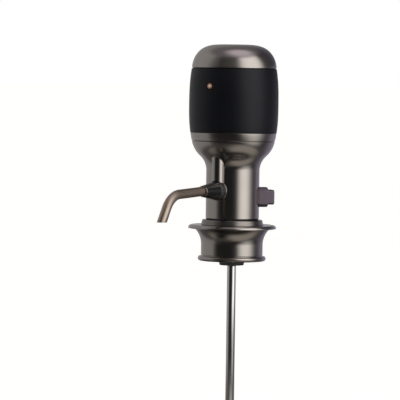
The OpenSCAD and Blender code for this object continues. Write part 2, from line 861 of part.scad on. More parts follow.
module spout_port() {
  socket_d0 = seat_d + spout_seat;
  flange = port_r + port_flange;
  flange_face = sqrt(pow(neck_in_r, 2) - pow(flange, 2)) - snug;
  bore_r = 1.6;
  bore_back = 1.2;
  color(resin) difference() {
    union() {
      facing_front(spout_z) rod(flange, port_in, flange_face);
      facing_front(spout_z) rod(port_r, port_in, port_end);
    }
    facing_front(spout_z) rod(spout_r + snug, socket_d0, port_end + cut);
    facing_front(spout_z) rod(bore_r, outlet_d - bore_back, socket_d0 + cut);
    translate([0, -outlet_d, 0]) rod(outlet_r + snug, port_top - snug, spout_z + flange + cut);
    translate([0, -outlet_d, 0]) rod(pipe_bore_r, spout_z, port_top + cut / 2);
  }
}

module spout_nut() {
  rim = 1.6;
  step = 0.3;
  band_d0 = nut_d0 + rim + 2 * step;
  pocket = port_end + seal_t + 4 * snug;
  color(dark) facing_front(spout_z) rotate_extrude() polygon([
    [port_r + snug, nut_d0], [nut_r, nut_d0], [nut_r, nut_d0 + rim], [nut_r - step, nut_d0 + rim],
    [nut_r - step, band_d0], [nut_r - step / 2, band_d0],
    [nut_r - step, nut_d0 + nut_band], [nut_tip_r, nut_d1],
    [spout_r + snug, nut_d1], [spout_r + snug, pocket], [port_r + snug, pocket]
  ]);
}

module spout_seal() {
  section = port_r - spout_r - snug;
  color(silicone) facing_front(spout_z) seal(spout_r + snug, section, port_end + 2 * snug + section / 2);
}

module spout_ferrule() {
  root_r = spout_r + 0.35;
  tip_r = spout_r + 0.3;
  color(dark) facing_front(spout_z) rotate_extrude() polygon([
    [spout_r + snug, nut_d1], [root_r, nut_d1], [tip_r, ferrule_d1], [spout_r + snug, ferrule_d1]
  ]);
}

// Faint rings join the lengths of the tube
module spout_path(r) {
  leg = 2 * spout_drop;
  lap = 0.4;
  ring_r = r + 0.03;
  rise = spout_bend_r * cos(spout_bend);
  run = spout_bend_r * sin(spout_bend);
  rod(r, seat_d + spout_seat + snug, droop_d);
  translate([0, 0, droop_d]) rotate([spout_droop, 0, 0]) {
    sphere(r = ring_r);
    rod(r, 0, bend_d - lap / 2);
    rod(ring_r, bend_d - lap, bend_d + lap);
    translate([0, -spout_bend_r, bend_d]) {
      rotate([90, 0, 90]) rotate_extrude(angle = spout_bend) translate([spout_bend_r, 0]) circle(r = r);
      translate([0, rise, run]) rotate([spout_bend, 0, 0]) {
        rod(ring_r, -lap, lap);
        rod(r, lap / 2, leg);
      }
    }
  }
}

// The mouth is cut level
module spout_tube() {
  reach = 2 * spout_reach;
  color(metal) facing_front(spout_z) difference() {
    spout_path(spout_r);
    spout_path(spout_r - spout_wall);
    translate([-reach / 2, -spout_drop - reach, 0]) cube([reach, reach, reach]);
  }
}

module valve_bush() {
  seal_r = spindle_r + 2 * shaft_run + seal_t + snug;
  color(resin) facing_knob() difference() {
    rod(valve_bush_r, valve_arm + snug, knob_face);
    rod(spindle_r + shaft_run, valve_arm, knob_face + cut);
    rod(seal_r, valve_seal_d - snug, valve_seal_d + seal_t + snug);
  }
}

module spindle_seal() {
  color(silicone) facing_knob() seal(spindle_r + 2 * shaft_run, seal_t, valve_seal_d + seal_t / 2);
}

module valve_spindle() {
  tip = passage_r + 0.8;
  tip_r = 0.4;
  needle = 2.2;
  color(steel) facing_knob() union() {
    rod(spindle_r, tip + needle, knob_d2 - spindle_inset);
    translate([0, 0, tip]) cylinder(r1 = tip_r, r2 = spindle_r, h = needle);
  }
}

// A fluted disc with two flats that run out into a square grip
module air_knob() {
  flute_r = 0.35;
  corner = 1.2;
  serrations = 3;
  pitch = knob_grip_len / (serrations + 1);
  grip_x = knob_flat - corner;
  grip_y = knob_grip_h / 2 - corner;
  color(metal) facing_knob() difference() {
    union() {
      intersection() {
        rod(knob_r, knob_d0, knob_d1);
        translate([-knob_flat, -knob_r, knob_d0]) cube([2 * knob_flat, 2 * knob_r, knob_disc_t]);
      }
      translate([0, 0, knob_d0]) linear_extrude(knob_d2 - knob_d0) {
        square([2 * knob_flat, 2 * grip_y], center = true);
        square([2 * grip_x, knob_grip_h], center = true);
        for (x = [-1, 1], y = [-1, 1]) translate([x * grip_x, y * grip_y]) circle(r = corner);
      }
    }
    for (i = [0:knob_flutes - 1]) let (a = 360 * (i + 0.5) / knob_flutes)
      if (abs(sin(a)) * knob_r < knob_flat - 2 * flute_r)
        rotate([0, 0, a]) translate([0, knob_r, 0]) rod(flute_r, knob_d0 - cut, knob_d1 + cut);
    for (i = [1:serrations], s = [-1, 1]) translate([0, s * knob_grip_h / 2, knob_d1 + i * pitch])
      rotate([0, 90, 0]) cylinder(r = flute_r, h = 3 * knob_flat, center = true);
    rod(spindle_r + snug, knob_d0 - cut, knob_d2 - spindle_inset + snug);
  }
}

module battery_carrier() {
  post_r = 2.4;
  screw_depth = 8;
  hole_r = drive_r + 4 * snug;
  plate_z1 = carrier_z0 + plate_t;
  color(dark) difference() {
    union() {
      rod(carrier_r, carrier_z0, plate_z1);
      around(3, post_ring_r, 0) rod(post_r, carrier_z0, top_z0);
    }
    rod(hole_r, carrier_z0 - cut, plate_z1 + cut);
    around(3, post_ring_r, 60) rod(screw_bore_r, carrier_z0 - cut, plate_z1 + cut);
    around(3, post_ring_r, 0) rod(screw_bore_r, top_z0 - screw_depth, top_z0 + cut);
  }
}

module carrier_top() {
  post_r = 2.2;
  hole_room = 3;
  skin = 0.4;
  color(dark) difference() {
    union() {
      rod(top_r, top_z0, top_z1);
      around(3, cell_ring_r, 60) rod(post_r, top_z0, board_z0);
    }
    rod(tab_x + hole_room, top_z0 - cut, top_z1 + cut);
    around(3, post_ring_r, 0) rod(screw_bore_r, top_z0 - cut, top_z1 + cut);
    around(3, cell_ring_r, 60) rod(screw_bore_r, top_z0 + skin, board_z0 + cut);
  }
}

// Neighbouring cells stand with opposite ends up
module battery_cells() {
  nub_h = 0.8;
  nub_r = 1.9;
  color(copper) for (i = [0:cell_count - 1]) rotate([0, 0, 360 * (i + 0.5) / cell_count])
    translate([0, -cell_ring_r, 0]) {
      foot = i % 2 == 0 ? cells_z0 : cells_z0 + nub_h;
      rod(cell_r, foot, foot + cell_len - nub_h);
      rod(nub_r, cells_z0, cells_z1);
    }
}

// Discs under the cells, joined in pairs
module contact_set(z0, first) {
  disc_r = 3.6;
  strip_t = 0.4;
  strip_w = 2.4;
  chord = 2 * cell_ring_r * sin(180 / cell_count);
  span = cell_ring_r * cos(180 / cell_count);
  around(cell_count, cell_ring_r, 180 / cell_count) rod(disc_r, z0, z0 + contact_t);
  for (i = [0:2]) rotate([0, 0, 120 * i + first]) translate([-chord / 2, -span - strip_w / 2, z0])
    cube([chord, strip_w, strip_t]);
}

module contacts_lower() {
  color(steel) contact_set(carrier_z0 + plate_t, 0);
}

module contacts_upper() {
  color(steel) translate([0, 0, top_z0 + cells_z1]) mirror([0, 0, 1]) contact_set(cells_z1, 60);
}

module carrier_screws() {
  top_bite = 7;
  foot_bite = 4;
  color(steel) {
    around(3, post_ring_r, 0) screw(top_z1, plate_t + top_bite);
    around(3, post_ring_r, 60) screw(carrier_z0 + plate_t, plate_t + foot_bite);
  }
}

module circuit_board() {
  color(board_green) difference() {
    rod(board_r, board_z0, board_z1);
    around(3, cell_ring_r, 60) rod(screw_bore_r, board_z0 - cut, board_z1 + cut);
  }
}

module board_screws() {
  bite = 0.8;
  color(steel) around(3, cell_ring_r, 60) screw(board_z1, board_t + standoff_h + bite);
}

switch_floor = 0.6;

module switch_body() {
  color(dark) difference() {
    translate([-switch_w / 2, -switch_w / 2, board_z1]) cube([switch_w, switch_w, switch_h]);
    rod(plunger_r + shaft_run, board_z1 + switch_floor, switch_z1 + cut);
  }
}

module switch_plunger() {
  spare = 0.4;
  color(resin) rod(plunger_r, board_z1 + switch_floor + button_travel + spare, post_z0 - 2 * snug);
}

module indicator_led() {
  led_r = 1.5;
  leg_r = 0.3;
  leg_x = 0.8;
  leg_back = 0.7;
  root = carrier_r - 0.9;
  tip = liner_in_r - 0.4 - led_r;
  color(amber) union() {
    facing_front(lens_z) rod(led_r, root, tip);
    facing_front(lens_z) translate([0, 0, tip]) sphere(r = led_r);
    for (s = [-1, 1]) translate([s * leg_x, -root - leg_back, 0]) rod(leg_r, lens_z, board_z0);
  }
}

module cover_ring() {
  inner = bayonet_r + twist_run;
  lug_in = bayonet_in_r + loose;
  color(metal) union() {
    rotate_extrude() polygon(concat(
      [[inner, cover_z0]], barrel_points(cover_z0, sleeve_z0, 6), [[inner, sleeve_z0]]
    ));
    for (i = [0:2]) rotate([0, 0, 120 * i - lug_angle / 2]) rotate_extrude(angle = lug_angle)
      translate([lug_in, lug_z0]) square([inner + loose - lug_in, lug_h]);
  }
}

// The liner's lip closes the gap under the dome's rim
module cover_liner() {
  web_z0 = sleeve_z1 - liner_web_t;
  guide_in = guide_r - guide_wall;
  color(dark) difference() {
    rotate_extrude() polygon([
      [liner_in_r, sleeve_z0], [liner_out_r, sleeve_z0], [liner_out_r, lip_z1], [liner_in_r, lip_z1],
      [liner_in_r, sleeve_z1], [guide_r, sleeve_z1], [guide_r, guide_z1], [guide_in, guide_z1],
      [guide_in, sleeve_z1], [web_hole_r, sleeve_z1], [web_hole_r, web_z0], [liner_in_r, web_z0]
    ]);
    facing_front(lens_z) rod(lens_r + snug, liner_in_r - cut, barrel_r);
  }
}

module grip_sleeve() {
  inner = liner_out_r + snug;
  color(dark) difference() {
    rotate_extrude() polygon(concat(
      [[inner, sleeve_z0]], barrel_points(sleeve_z0, sleeve_z1, 24), [[inner, sleeve_z1]]
    ));
    facing_front(lens_z) rod(lens_r + snug, liner_in_r, barrel_r + cut);
  }
}

module led_lens() {
  crown = 0.35;
  face = barrel_at(lens_z);
  ball_r = (lens_r * lens_r + crown * crown) / (2 * crown);
  color(amber) facing_front(lens_z) intersection() {
    rod(lens_r, liner_in_r, face + crown + cut);
    translate([0, 0, face + crown - ball_r]) sphere(r = ball_r);
  }
}

module button_cap() {
  color(metal) rotate_extrude() difference() {
    polygon(concat([[0, cap_z0]], dome_points(cap_r, cap_h, 32)));
    polygon(concat([[0, cap_z0 - cut], [cap_in_r, cap_z0 - cut]], dome_points(cap_in_r, cap_in_h, 32)));
  }
}

// The carrier's brim is fixed in the dome, clear of the liner's lip
module button_carrier() {
  foot = cap_z0 + loose;
  brim_t = 1.2;
  brim_rise = lip_rise + button_travel + 2 * loose;
  brim_z0 = cap_z0 + brim_rise;
  brim_z1 = brim_z0 + brim_t;
  brim_r = dome_at(cap_in_r, cap_in_h, brim_rise + brim_t) - loose;
  inner = guide_r + shaft_run;
  pad_r = 3.2;
  color(dark) rotate_extrude() polygon([
    [inner, foot], [hat_r, foot], [hat_r, brim_z0], [brim_r, brim_z0], [brim_r, brim_z1],
    [hat_r, brim_z1], [hat_r, hat_z1], [0, hat_z1],
    [0, post_z0], [pad_r, post_z0], [pad_r, hat_z0], [inner, hat_z0]
  ]);
}

// The spring is one helical tube
module button_spring() {
  sides = 6;
  per_turn = 16;
  steps = spring_turns * per_turn;
  last = steps * sides;
  wire_r = spring_wire / 2;
  low = sleeve_z1 + wire_r + snug;
  high = hat_z0 - wire_r - snug;
  slope = atan((high - low) / (spring_turns * 2 * PI * spring_r));
  points = [for (i = [0:steps], k = [0:sides - 1])
    let (a = 360 * i / per_turn, b = 360 * k / sides, u = wire_r * cos(b), v = wire_r * sin(b))
    [(spring_r + u) * cos(a) + v * sin(slope) * sin(a), (spring_r + u) * sin(a) - v * sin(slope) * cos(a),
      low + (high - low) * i / steps + v * cos(slope)]];
  walls = [for (i = [0:steps - 1], k = [0:sides - 1])
    let (p = i * sides + k, q = i * sides + (k + 1) % sides)
    each [[p, p + sides, q], [q, p + sides, q + sides]]];
  ends = [for (k = [1:sides - 2]) each [[0, k, k + 1], [last, last + k + 1, last + k]]];
  color(steel) polyhedron(points, concat(walls, ends));
}

echo(spring_gap = (hat_z0 - sleeve_z1 - spring_wire) / spring_turns - spring_wire);

base_collar();
hub_ring();
socket_bush();
bottle_stopper();
neck_shell();
bayonet_ring();
spigot();
spigot_oring();
tube_seal();
dip_tube_upper();
tube_collar();
mixing_block();
riser_hose();
pump_head();
valve_plate();
diaphragm();
wobble_plate();
pump_frame();
pump_screws();
motor_can();
motor_bell();
motor_leads();
outlet_pipe();
spout_port();
spout_nut();
spout_seal();
spout_ferrule();
spout_tube();
valve_bush();
spindle_seal();
battery_carrier();
carrier_top();
battery_cells();
contacts_lower();
contacts_upper();
carrier_screws();
circuit_board();
board_screws();
switch_body();
indicator_led();
motor_rotor();
eccentric();
cover_ring();
cover_liner();
grip_sleeve();
led_lens();
button_cap();
button_carrier();
button_spring();
switch_plunger();
air_knob();
valve_spindle();
dip_tube_lower();
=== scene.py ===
# Electric wine aerator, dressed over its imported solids: metres, +Z up, spout along -Y
import json
import math

import bmesh
import bpy
from mathutils import Matrix, Vector


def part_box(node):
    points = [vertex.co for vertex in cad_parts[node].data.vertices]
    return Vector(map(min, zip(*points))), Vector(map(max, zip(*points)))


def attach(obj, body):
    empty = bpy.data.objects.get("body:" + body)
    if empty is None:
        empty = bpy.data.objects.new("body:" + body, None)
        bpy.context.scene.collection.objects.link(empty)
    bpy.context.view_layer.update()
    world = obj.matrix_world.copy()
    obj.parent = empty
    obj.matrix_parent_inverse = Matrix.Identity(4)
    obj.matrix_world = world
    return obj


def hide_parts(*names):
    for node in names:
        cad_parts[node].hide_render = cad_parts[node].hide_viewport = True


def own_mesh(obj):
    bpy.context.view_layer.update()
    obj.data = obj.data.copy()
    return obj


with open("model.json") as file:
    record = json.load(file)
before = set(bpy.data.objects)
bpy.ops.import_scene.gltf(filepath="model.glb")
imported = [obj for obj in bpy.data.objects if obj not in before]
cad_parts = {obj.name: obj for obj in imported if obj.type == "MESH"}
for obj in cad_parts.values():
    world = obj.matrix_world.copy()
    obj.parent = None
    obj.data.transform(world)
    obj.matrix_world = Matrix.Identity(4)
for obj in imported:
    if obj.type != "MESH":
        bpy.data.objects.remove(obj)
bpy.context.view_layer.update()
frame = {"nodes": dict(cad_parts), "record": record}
solids = frame["nodes"]
scene = bpy.context.scene
mm = 0.001
tiny = 1e-9  # keeps a division from zero
sameSpot = 1e-7  # points nearer than this, in metres, become one
print("frame:", len(solids), "solids")


def extent(node):
    # lowest and highest corner of a solid, in mm
    low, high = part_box(node)
    return Vector(low) / mm, Vector(high) / mm


def around(count):
    # even angles of one full turn
    return [2 * math.pi * k / count for k in range(count)]


# outlines are (r, z) in mm, where z may also be a distance out from the axis

def rounded(corners, steps=5, most=0.45):
    # closed outline of (r, z, fillet); a fillet takes at most a share of its corner's sides
    outline = []
    for i, (r, z, fillet) in enumerate(corners):
        here = Vector((r, z))
        if not fillet:
            outline.append(here)
            continue
        back = Vector(corners[i - 1][:2]) - here
        ahead = Vector(corners[(i + 1) % len(corners)][:2]) - here
        half = back.angle(ahead) / 2
        cut = min(fillet / math.tan(half), most * back.length, most * ahead.length)
        centre = here + (back.normalized() + ahead.normalized()).normalized() * (cut / math.cos(half))
        first = here + back.normalized() * cut - centre
        last = here + ahead.normalized() * cut - centre
        a0 = math.atan2(first.y, first.x)
        turn = (math.atan2(last.y, last.x) - a0 + math.pi) % (2 * math.pi) - math.pi
        for k in range(steps + 1):
            a = a0 + turn * k / steps
            outline.append(centre + first.length * Vector((math.cos(a), math.sin(a))))
    return outline


def arc(x, z, r, start, end, count):
    # points round a centre, angles in degrees
    turns = [math.radians(start + (end - start) * k / count) for k in range(count + 1)]
    return [(x + r * math.cos(a), z + r * math.sin(a), 0) for a in turns]


def divided(outline, step):
    # extra points along the long stretches of an open outline
    fine = [outline[0]]
    for a, b in zip(outline, outline[1:]):
        parts = max(1, math.ceil((b - a).length / step))
        fine += [a.lerp(b, k / parts) for k in range(1, parts + 1)]
    return fine


def dividedLoop(outline, step):
    # the same for a closed outline
    return divided(outline + outline[:1], step)[:-1]


def evenShading(obj, sharp=None):
    for polygon in obj.data.polygons:
        polygon.use_smooth = True
    if sharp:
        obj.data.set_sharp_from_angle(angle=math.radians(sharp))
    obj.modifiers.new("evenNormals", "WEIGHTED_NORMAL").keep_sharp = True


def ringsToObject(name, rings, closed=True, sharp=None):
    # rings of points in mm, joined one to the next; a closed stack has no ends
    mesh = bpy.data.meshes.new(name)
    bm = bmesh.new()
    made = [[bm.verts.new(Vector(p) * mm) for p in ring] for ring in rings]
    for low, high in zip(made, made[1:] + made[:1] if closed else made[1:]):
        for k in range(len(low)):
            n = (k + 1) % len(low)
            bm.faces.new((low[k], low[n], high[n], high[k]))
    bmesh.ops.remove_doubles(bm, verts=bm.verts, dist=sameSpot)
    bmesh.ops.recalc_face_normals(bm, faces=bm.faces)
    bm.to_mesh(mesh)
    bm.free()
    obj = bpy.data.objects.new(name, mesh)
    scene.collection.objects.link(obj)
    evenShading(obj, sharp)
    return obj


def turned(name, outline, sides, shape=None, place=None):
    # a closed outline turned about its axis; shape(r, z, angle) may change a radius
    rings = []
    for r, z in outline:
        ring = []
        for a in around(sides):
            radius = shape(r, z, a) if shape else r
            ring.append((radius * math.cos(a), radius * math.sin(a), z))
        rings.append(ring)
    obj = ringsToObject(name, rings)
    if place:
        obj.data.transform(place)
    return obj


def wireRing(name, r, d, wire, points, sides, place):
    # a thin round ring, a distance out along its axis
    outline = [Vector((r + wire * math.cos(a), d + wire * math.sin(a))) for a in around(points)]
    return turned(name, outline, sides, None, place)


def rodCutter(r, near, far, place, sides=128):
    mesh = bpy.data.meshes.new("cutter")
    bm = bmesh.new()
    spot = place @ Matrix.Translation((0, 0, (near + far) / 2 * mm))
    bmesh.ops.create_cone(bm, cap_ends=True, segments=sides, radius1=r * mm, radius2=r * mm,
                          depth=(far - near) * mm, matrix=spot)
    bm.to_mesh(mesh)
    bm.free()
    obj = bpy.data.objects.new("cutter", mesh)
    scene.collection.objects.link(obj)
    return obj


def carve(obj, cutters, sharp=30):
    # takes the cutters out of a mesh for good and clears them away
    obj.modifiers.clear()
    for cutter in cutters:
        cut = obj.modifiers.new("cut", "BOOLEAN")
        cut.operation, cut.solver, cut.object = "DIFFERENCE", "EXACT", cutter
    bpy.context.view_layer.update()
    whole = obj.data
    obj.data = bpy.data.meshes.new_from_object(obj.evaluated_get(bpy.context.evaluated_depsgraph_get()))
    obj.data.name = obj.name
    obj.modifiers.clear()
    bpy.data.meshes.remove(whole)
    for cutter in cutters:
        bpy.data.meshes.remove(cutter.data)
    evenShading(obj, sharp)
    return obj


def softenEdges(obj, name, width, angle, steps=2):
    edge = obj.modifiers.new(name, "BEVEL")
    edge.width = width * mm
    edge.segments = steps
    edge.limit_method = "ANGLE"
    edge.angle_limit = math.radians(angle)
    return edge


def dress(obj, body, material, slot, *replaced):
    obj.data.materials.clear()
    obj.data.materials.append(material)
    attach(obj, body)
    if replaced:
        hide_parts(*replaced)
    return obj


def facing(z, angle=0):
    # turns an outline's axis to the front at a height, then round the neck
    front = Matrix.Translation((0, 0, z * mm)) @ Matrix.Rotation(math.pi / 2, 4, "X")
    return Matrix.Rotation(math.radians(angle), 4, "Z") @ front


# shader nodes that the finishes and the studio share

def newFinish(name, **sockets):
    material = bpy.data.materials.new(name)
    material.use_nodes = True
    tree = material.node_tree
    bsdf = tree.nodes["Principled BSDF"]
    for key, value in sockets.items():
        bsdf.inputs[key.replace("_", " ")].default_value = value
    return material, tree, bsdf


def placeOf(tree):
    return tree.nodes.new("ShaderNodeTexCoord").outputs["Object"]


def noiseOf(tree, scale, detail, stretch=(1, 1, 1), roughness=0.55):
    mapping = tree.nodes.new("ShaderNodeMapping")
    mapping.inputs["Scale"].default_value = stretch
    noise = tree.nodes.new("ShaderNodeTexNoise")
    noise.inputs["Scale"].default_value = scale
    noise.inputs["Detail"].default_value = detail
    noise.inputs["Roughness"].default_value = roughness
    tree.links.new(placeOf(tree), mapping.inputs["Vector"])
    tree.links.new(mapping.outputs["Vector"], noise.inputs["Vector"])
    return noise.outputs["Fac"]


def calculated(tree, operation, first, second=0):
    # either value may be a socket or a plain number
    node = tree.nodes.new("ShaderNodeMath")
    node.operation = operation
    for socket, value in zip(node.inputs, (first, second)):
        if isinstance(value, (int, float)):
            socket.default_value = value
        else:
            tree.links.new(value, socket)
    return node.outputs["Value"]


def vectorNode(tree, operation, vector):
    node = tree.nodes.new("ShaderNodeVectorMath")
    node.operation = operation
    tree.links.new(vector, node.inputs[0])
    return node


def mapped(tree, value, span, ends, kind="LINEAR"):
    # carries a span of values over to two end values
    node = tree.nodes.new("ShaderNodeMapRange")
    node.interpolation_type = kind
    for key, number in zip(("From Min", "From Max", "To Min", "To Max"), (*span, *ends)):
        node.inputs[key].default_value = number
    tree.links.new(value, node.inputs["Value"])
    return node.outputs["Result"]


def faded(tree, value, span, ends=(0, 1)):
    return mapped(tree, value, span, ends, "SMOOTHSTEP")


def ramp(tree, value, stops):
    # stops of (position, colour)
    node = tree.nodes.new("ShaderNodeValToRGB")
    marks = node.color_ramp.elements
    while len(marks) < len(stops):
        marks.new(1.0)
    for mark, (position, colour) in zip(marks, stops):
        mark.position = position
        mark.color = (*colour, 1)
    tree.links.new(value, node.inputs["Fac"])
    return node.outputs["Color"]


def mixed(tree, factor, first, second):
    # either colour may be a socket or a plain colour
    mix = tree.nodes.new("ShaderNodeMix")
    mix.data_type = "RGBA"
    tree.links.new(factor, mix.inputs[0])
    for socket, colour in ((mix.inputs[6], first), (mix.inputs[7], second)):
        if isinstance(colour, tuple):
            socket.default_value = (*colour, 1)
        else:
            tree.links.new(colour, socket)
    return mix.outputs[2]


def bumped(tree, bsdf, value, strength, distance):
    bump = tree.nodes.new("ShaderNodeBump")
    bump.inputs["Strength"].default_value = strength
    bump.inputs["Distance"].default_value = distance
    tree.links.new(value, bump.inputs["Height"])
    tree.links.new(bump.outputs["Normal"], bsdf.inputs["Normal"])


# finishes: a skin gives the noise (scale, detail, stretch) of its tone, gloss and grain,
# and the grain's depth in metres

metalSkin = dict(tone=(38, 2), gloss=(60, 3), grain=(500, 2, (1, 1, 3)), depth=0.000006)
rubberSkin = dict(tone=(80, 4), gloss=(260, 4), grain=(3800, 3), depth=0.00004)
resinSkin = dict(tone=(120, 4), gloss=(300, 4), grain=(2400, 3), depth=0.00006)
noiseSpan = dict(tone=(0.35, 0.65), gloss=(0.3, 0.7))  # the stretch of the noise that is used


def paint(tree, bsdf, noise, first, second):
    # a tone that drifts between two shades
    tone = ramp(tree, noiseOf(tree, *noise), list(zip(noiseSpan["tone"], (first, second))))
    tree.links.new(tone, bsdf.inputs["Base Color"])


def textured(name, skin, first, second, gloss, grain, **sockets):
    # two shades and two roughnesses, cloudy, over a fine grain
    material, tree, bsdf = newFinish(name, **sockets)
    paint(tree, bsdf, skin["tone"], first, second)
    rough = mapped(tree, noiseOf(tree, *skin["gloss"]), noiseSpan["gloss"], gloss)
    tree.links.new(rough, bsdf.inputs["Roughness"])
    bumped(tree, bsdf, noiseOf(tree, *skin["grain"]), grain, skin["depth"])
    return material


def satinMetal(name, first, second, *gloss, grain=0.25):
    # satin plating with a very fine turned grain
    return textured(name, metalSkin, first, second, gloss, grain, Metallic=1.0)


def softTouch(name, first, second, *gloss, level=0.24, grain=0.05):
    # matte rubber skin
    return textured(name, rubberSkin, first, second, gloss, grain, Specular_IOR_Level=level)


def moulded(name, first, second, *gloss, level=0.5, grain=0.05):
    # moulded resin or silicone
    return textured(name, resinSkin, first, second, gloss, grain, Specular_IOR_Level=level)


lensLow, lensHigh = extent("led_lens")
lens = dict(r=(lensHigh.x - lensLow.x) / 2, z=(lensHigh.z + lensLow.z) / 2, front=-lensLow.y, crown=0.35,
            middle=(0.1, (0.56, 0.41, 0.31)), edge=(0.9, (0.15, 0.085, 0.055)), grain=(1500, 2),
            bump=(0.03, 0.00005))


def lampLens():
    # amber lens, paler and faintly lit in the middle
    material, tree, bsdf = newFinish("amberLens", Roughness=0.16, Coat_Weight=0.4, Emission_Strength=0.15)
    offset = vectorNode(tree, "DISTANCE", placeOf(tree))
    offset.inputs[1].default_value = Vector((0, -lens["front"], lens["z"])) * mm
    away = mapped(tree, offset.outputs["Value"], (0, lens["r"] * mm), (0, 1))
    tone = ramp(tree, away, [lens["middle"], lens["edge"]])
    tree.links.new(tone, bsdf.inputs["Base Color"])
    tree.links.new(tone, bsdf.inputs["Emission Color"])
    bumped(tree, bsdf, noiseOf(tree, *lens["grain"]), *lens["bump"])
    return material


# two shades, then the least and the most roughness
gunmetal = satinMetal("gunmetal", (0.325, 0.300, 0.276), (0.345, 0.319, 0.294), 0.165, 0.185)
# painted shade: a darker copy of the gunmetal for the hub ring, standing in for the dimmer light its side
# mirrors
shadedGunmetal = satinMetal("shadedGunmetal", (0.190, 0.174, 0.158), (0.206, 0.189, 0.172), 0.175, 0.195)
bronze = satinMetal("bronzeTube", (0.372, 0.302, 0.240), (0.412, 0.338, 0.270), 0.37, 0.43)
brownMetal = satinMetal("brownFerrule", (0.160, 0.120, 0.098), (0.190, 0.145, 0.118), 0.24, 0.30)
mauveMetal = satinMetal("mauveMetal", (0.128, 0.106, 0.128), (0.150, 0.126, 0.150), 0.30, 0.38)
polished = satinMetal("polishedSteel", (0.560, 0.555, 0.550), (0.620, 0.615, 0.605), 0.12, 0.18)
zinc = satinMetal("zincSteel", (0.48, 0.48, 0.49), (0.58, 0.58, 0.59), 0.30, 0.42)
bright = satinMetal("brightScrews", (0.60, 0.60, 0.61), (0.68, 0.68, 0.69), 0.16, 0.24)
copperWire = satinMetal("copperWire", (0.50, 0.25, 0.13), (0.62, 0.34, 0.19), 0.25, 0.40)
grip = softTouch("softGrip", (0.0019, 0.0023, 0.0046), (0.0031, 0.0036, 0.0062), 0.39, 0.45)
nutBlack = moulded("nutBlack", (0.0055, 0.0053, 0.0052), (0.0075, 0.0072, 0.0070), 0.13, 0.17,
                   level=0.8, grain=0.02)
silicone = moulded("blackSilicone", (0.020, 0.020, 0.022), (0.030, 0.030, 0.033), 0.52, 0.66,
                   level=0.4, grain=0.12)
paleResin = moulded("paleResin", (0.66, 0.66, 0.63), (0.74, 0.74, 0.71), 0.40, 0.52)
blackResin = moulded("blackResin", (0.012, 0.012, 0.013), (0.019, 0.019, 0.021), 0.42, 0.54, level=0.16)
cellFilm = moulded("cellFilm", (0.035, 0.036, 0.040), (0.055, 0.056, 0.060), 0.20, 0.28)
boardMask = moulded("boardMask", (0.014, 0.085, 0.040), (0.024, 0.125, 0.060), 0.26, 0.36)
finishes = {
    "gunmetal": gunmetal, "knob_metal": mauveMetal, "spout_metal": bronze, "grip": grip,
    "nut_black": nutBlack, "tube_steel": polished, "silicone": silicone, "pale_resin": paleResin,
    "black_resin": blackResin, "motor_steel": zinc, "screw_steel": bright, "cell_wrap": cellFilm,
    "copper": copperWire, "board_green": boardMask, "amber": lampLens(),
}
softEdge = dict(width=0.18, weld=0.002, angle=40)
for part in frame["record"]["subparts"]:  # every solid starts with its slot's finish and softened edges
    solid = solids[part["node"]]
    solid.data.materials.clear()
    solid.data.materials.append(finishes[part["material_slot"]])
    for polygon in solid.data.polygons:
        polygon.use_smooth = True
    solid.modifiers.new("weld", "WELD").merge_threshold = softEdge["weld"] * mm
    softenEdges(solid, "softEdge", softEdge["width"], softEdge["angle"]).harden_normals = True
print("finishes:", len(finishes))


# the button and the cover, whose bulge runs from the neck's seam up to the dome

capLow, capHigh = extent("button_cap")
sleeveLow, sleeveHigh = extent("grip_sleeve")
ringLow, ringHigh = extent("cover_ring")
neckLow, neckHigh = extent("neck_shell")
inside = dict(dome=0.18, cover=0.012)  # how far they stay within their solids
dome = dict(r=capHigh.x - inside["dome"], z=capLow.z, h=capHigh.z - capLow.z, side=4.4, rise=1.7,
            wall=1.1, rim=0.14, skirtWall=0.38, skirtRise=0.55, skirtSoft=0.05, outerRows=80, innerRows=40)
cover = dict(r=sleeveHigh.x - inside["cover"], power=2.75, clear=1.0, sides=220)
seamR, seamZ = neckHigh.x, neckHigh.z
bellyZ = (seamZ + dome["z"]) / 2


def barrelAt(z):
    low = z < bellyZ
    drop = cover["r"] - (seamR if low else dome["r"])
    span = bellyZ - seamZ if low else dome["z"] - bellyZ
    return cover["r"] - drop * (abs(z - bellyZ) / span) ** cover["power"]


def barrelRing(name, inner, z0, z1, lowSoft, highSoft, count):
    # a turned ring whose outside follows the cover's bulge; its rows keep clear of the soft edges
    clear = cover["clear"]
    levels = [z0 + clear + (z1 - z0 - 2 * clear) * k / count for k in range(count + 1)]
    side = [(barrelAt(z), z, 0) for z in levels]
    outline = [(inner, z0, 0), (barrelAt(z0), z0, lowSoft), *side,
               (barrelAt(z1), z1, highSoft), (inner, z1, 0)]
    return turned(name, rounded(outline), cover["sides"])


def domeRows(r, h, count):
    for k in range(count + 1):
        a = math.pi / 2 * k / count
        out = r * max(math.cos(a), 0) ** (2 / dome["side"])
        yield Vector((out, dome["z"] + h * math.sin(a) ** (2 / dome["rise"])))


def makeDome():
    # the foot is thinner, to clear the sleeve's lip when the button is down
    r, z, wall = dome["r"], dome["z"], dome["wall"]
    skirt, shelf = r - dome["skirtWall"], z + dome["skirtRise"]
    outer = [p for p in domeRows(r, dome["h"], dome["outerRows"]) if p.y > z + dome["rim"]]
    inner = [p for p in domeRows(r - wall, dome["h"] - wall, dome["innerRows"]) if p.y > shelf]
    foot = rounded([(r - wall, shelf, 0), (skirt, shelf, 0), (skirt, z, dome["skirtSoft"]),
                    (r, z, dome["rim"]), (r, z + 1, 0)])[:-1]  # the last point only steers the fillet
    obj = turned("buttonDome", foot + outer + inner[::-1], cover["sides"])
    return dress(obj, "button", gunmetal, "gunmetal", "button_cap")


sleeve = dict(wall=2.95, soft=0.2, rows=40)


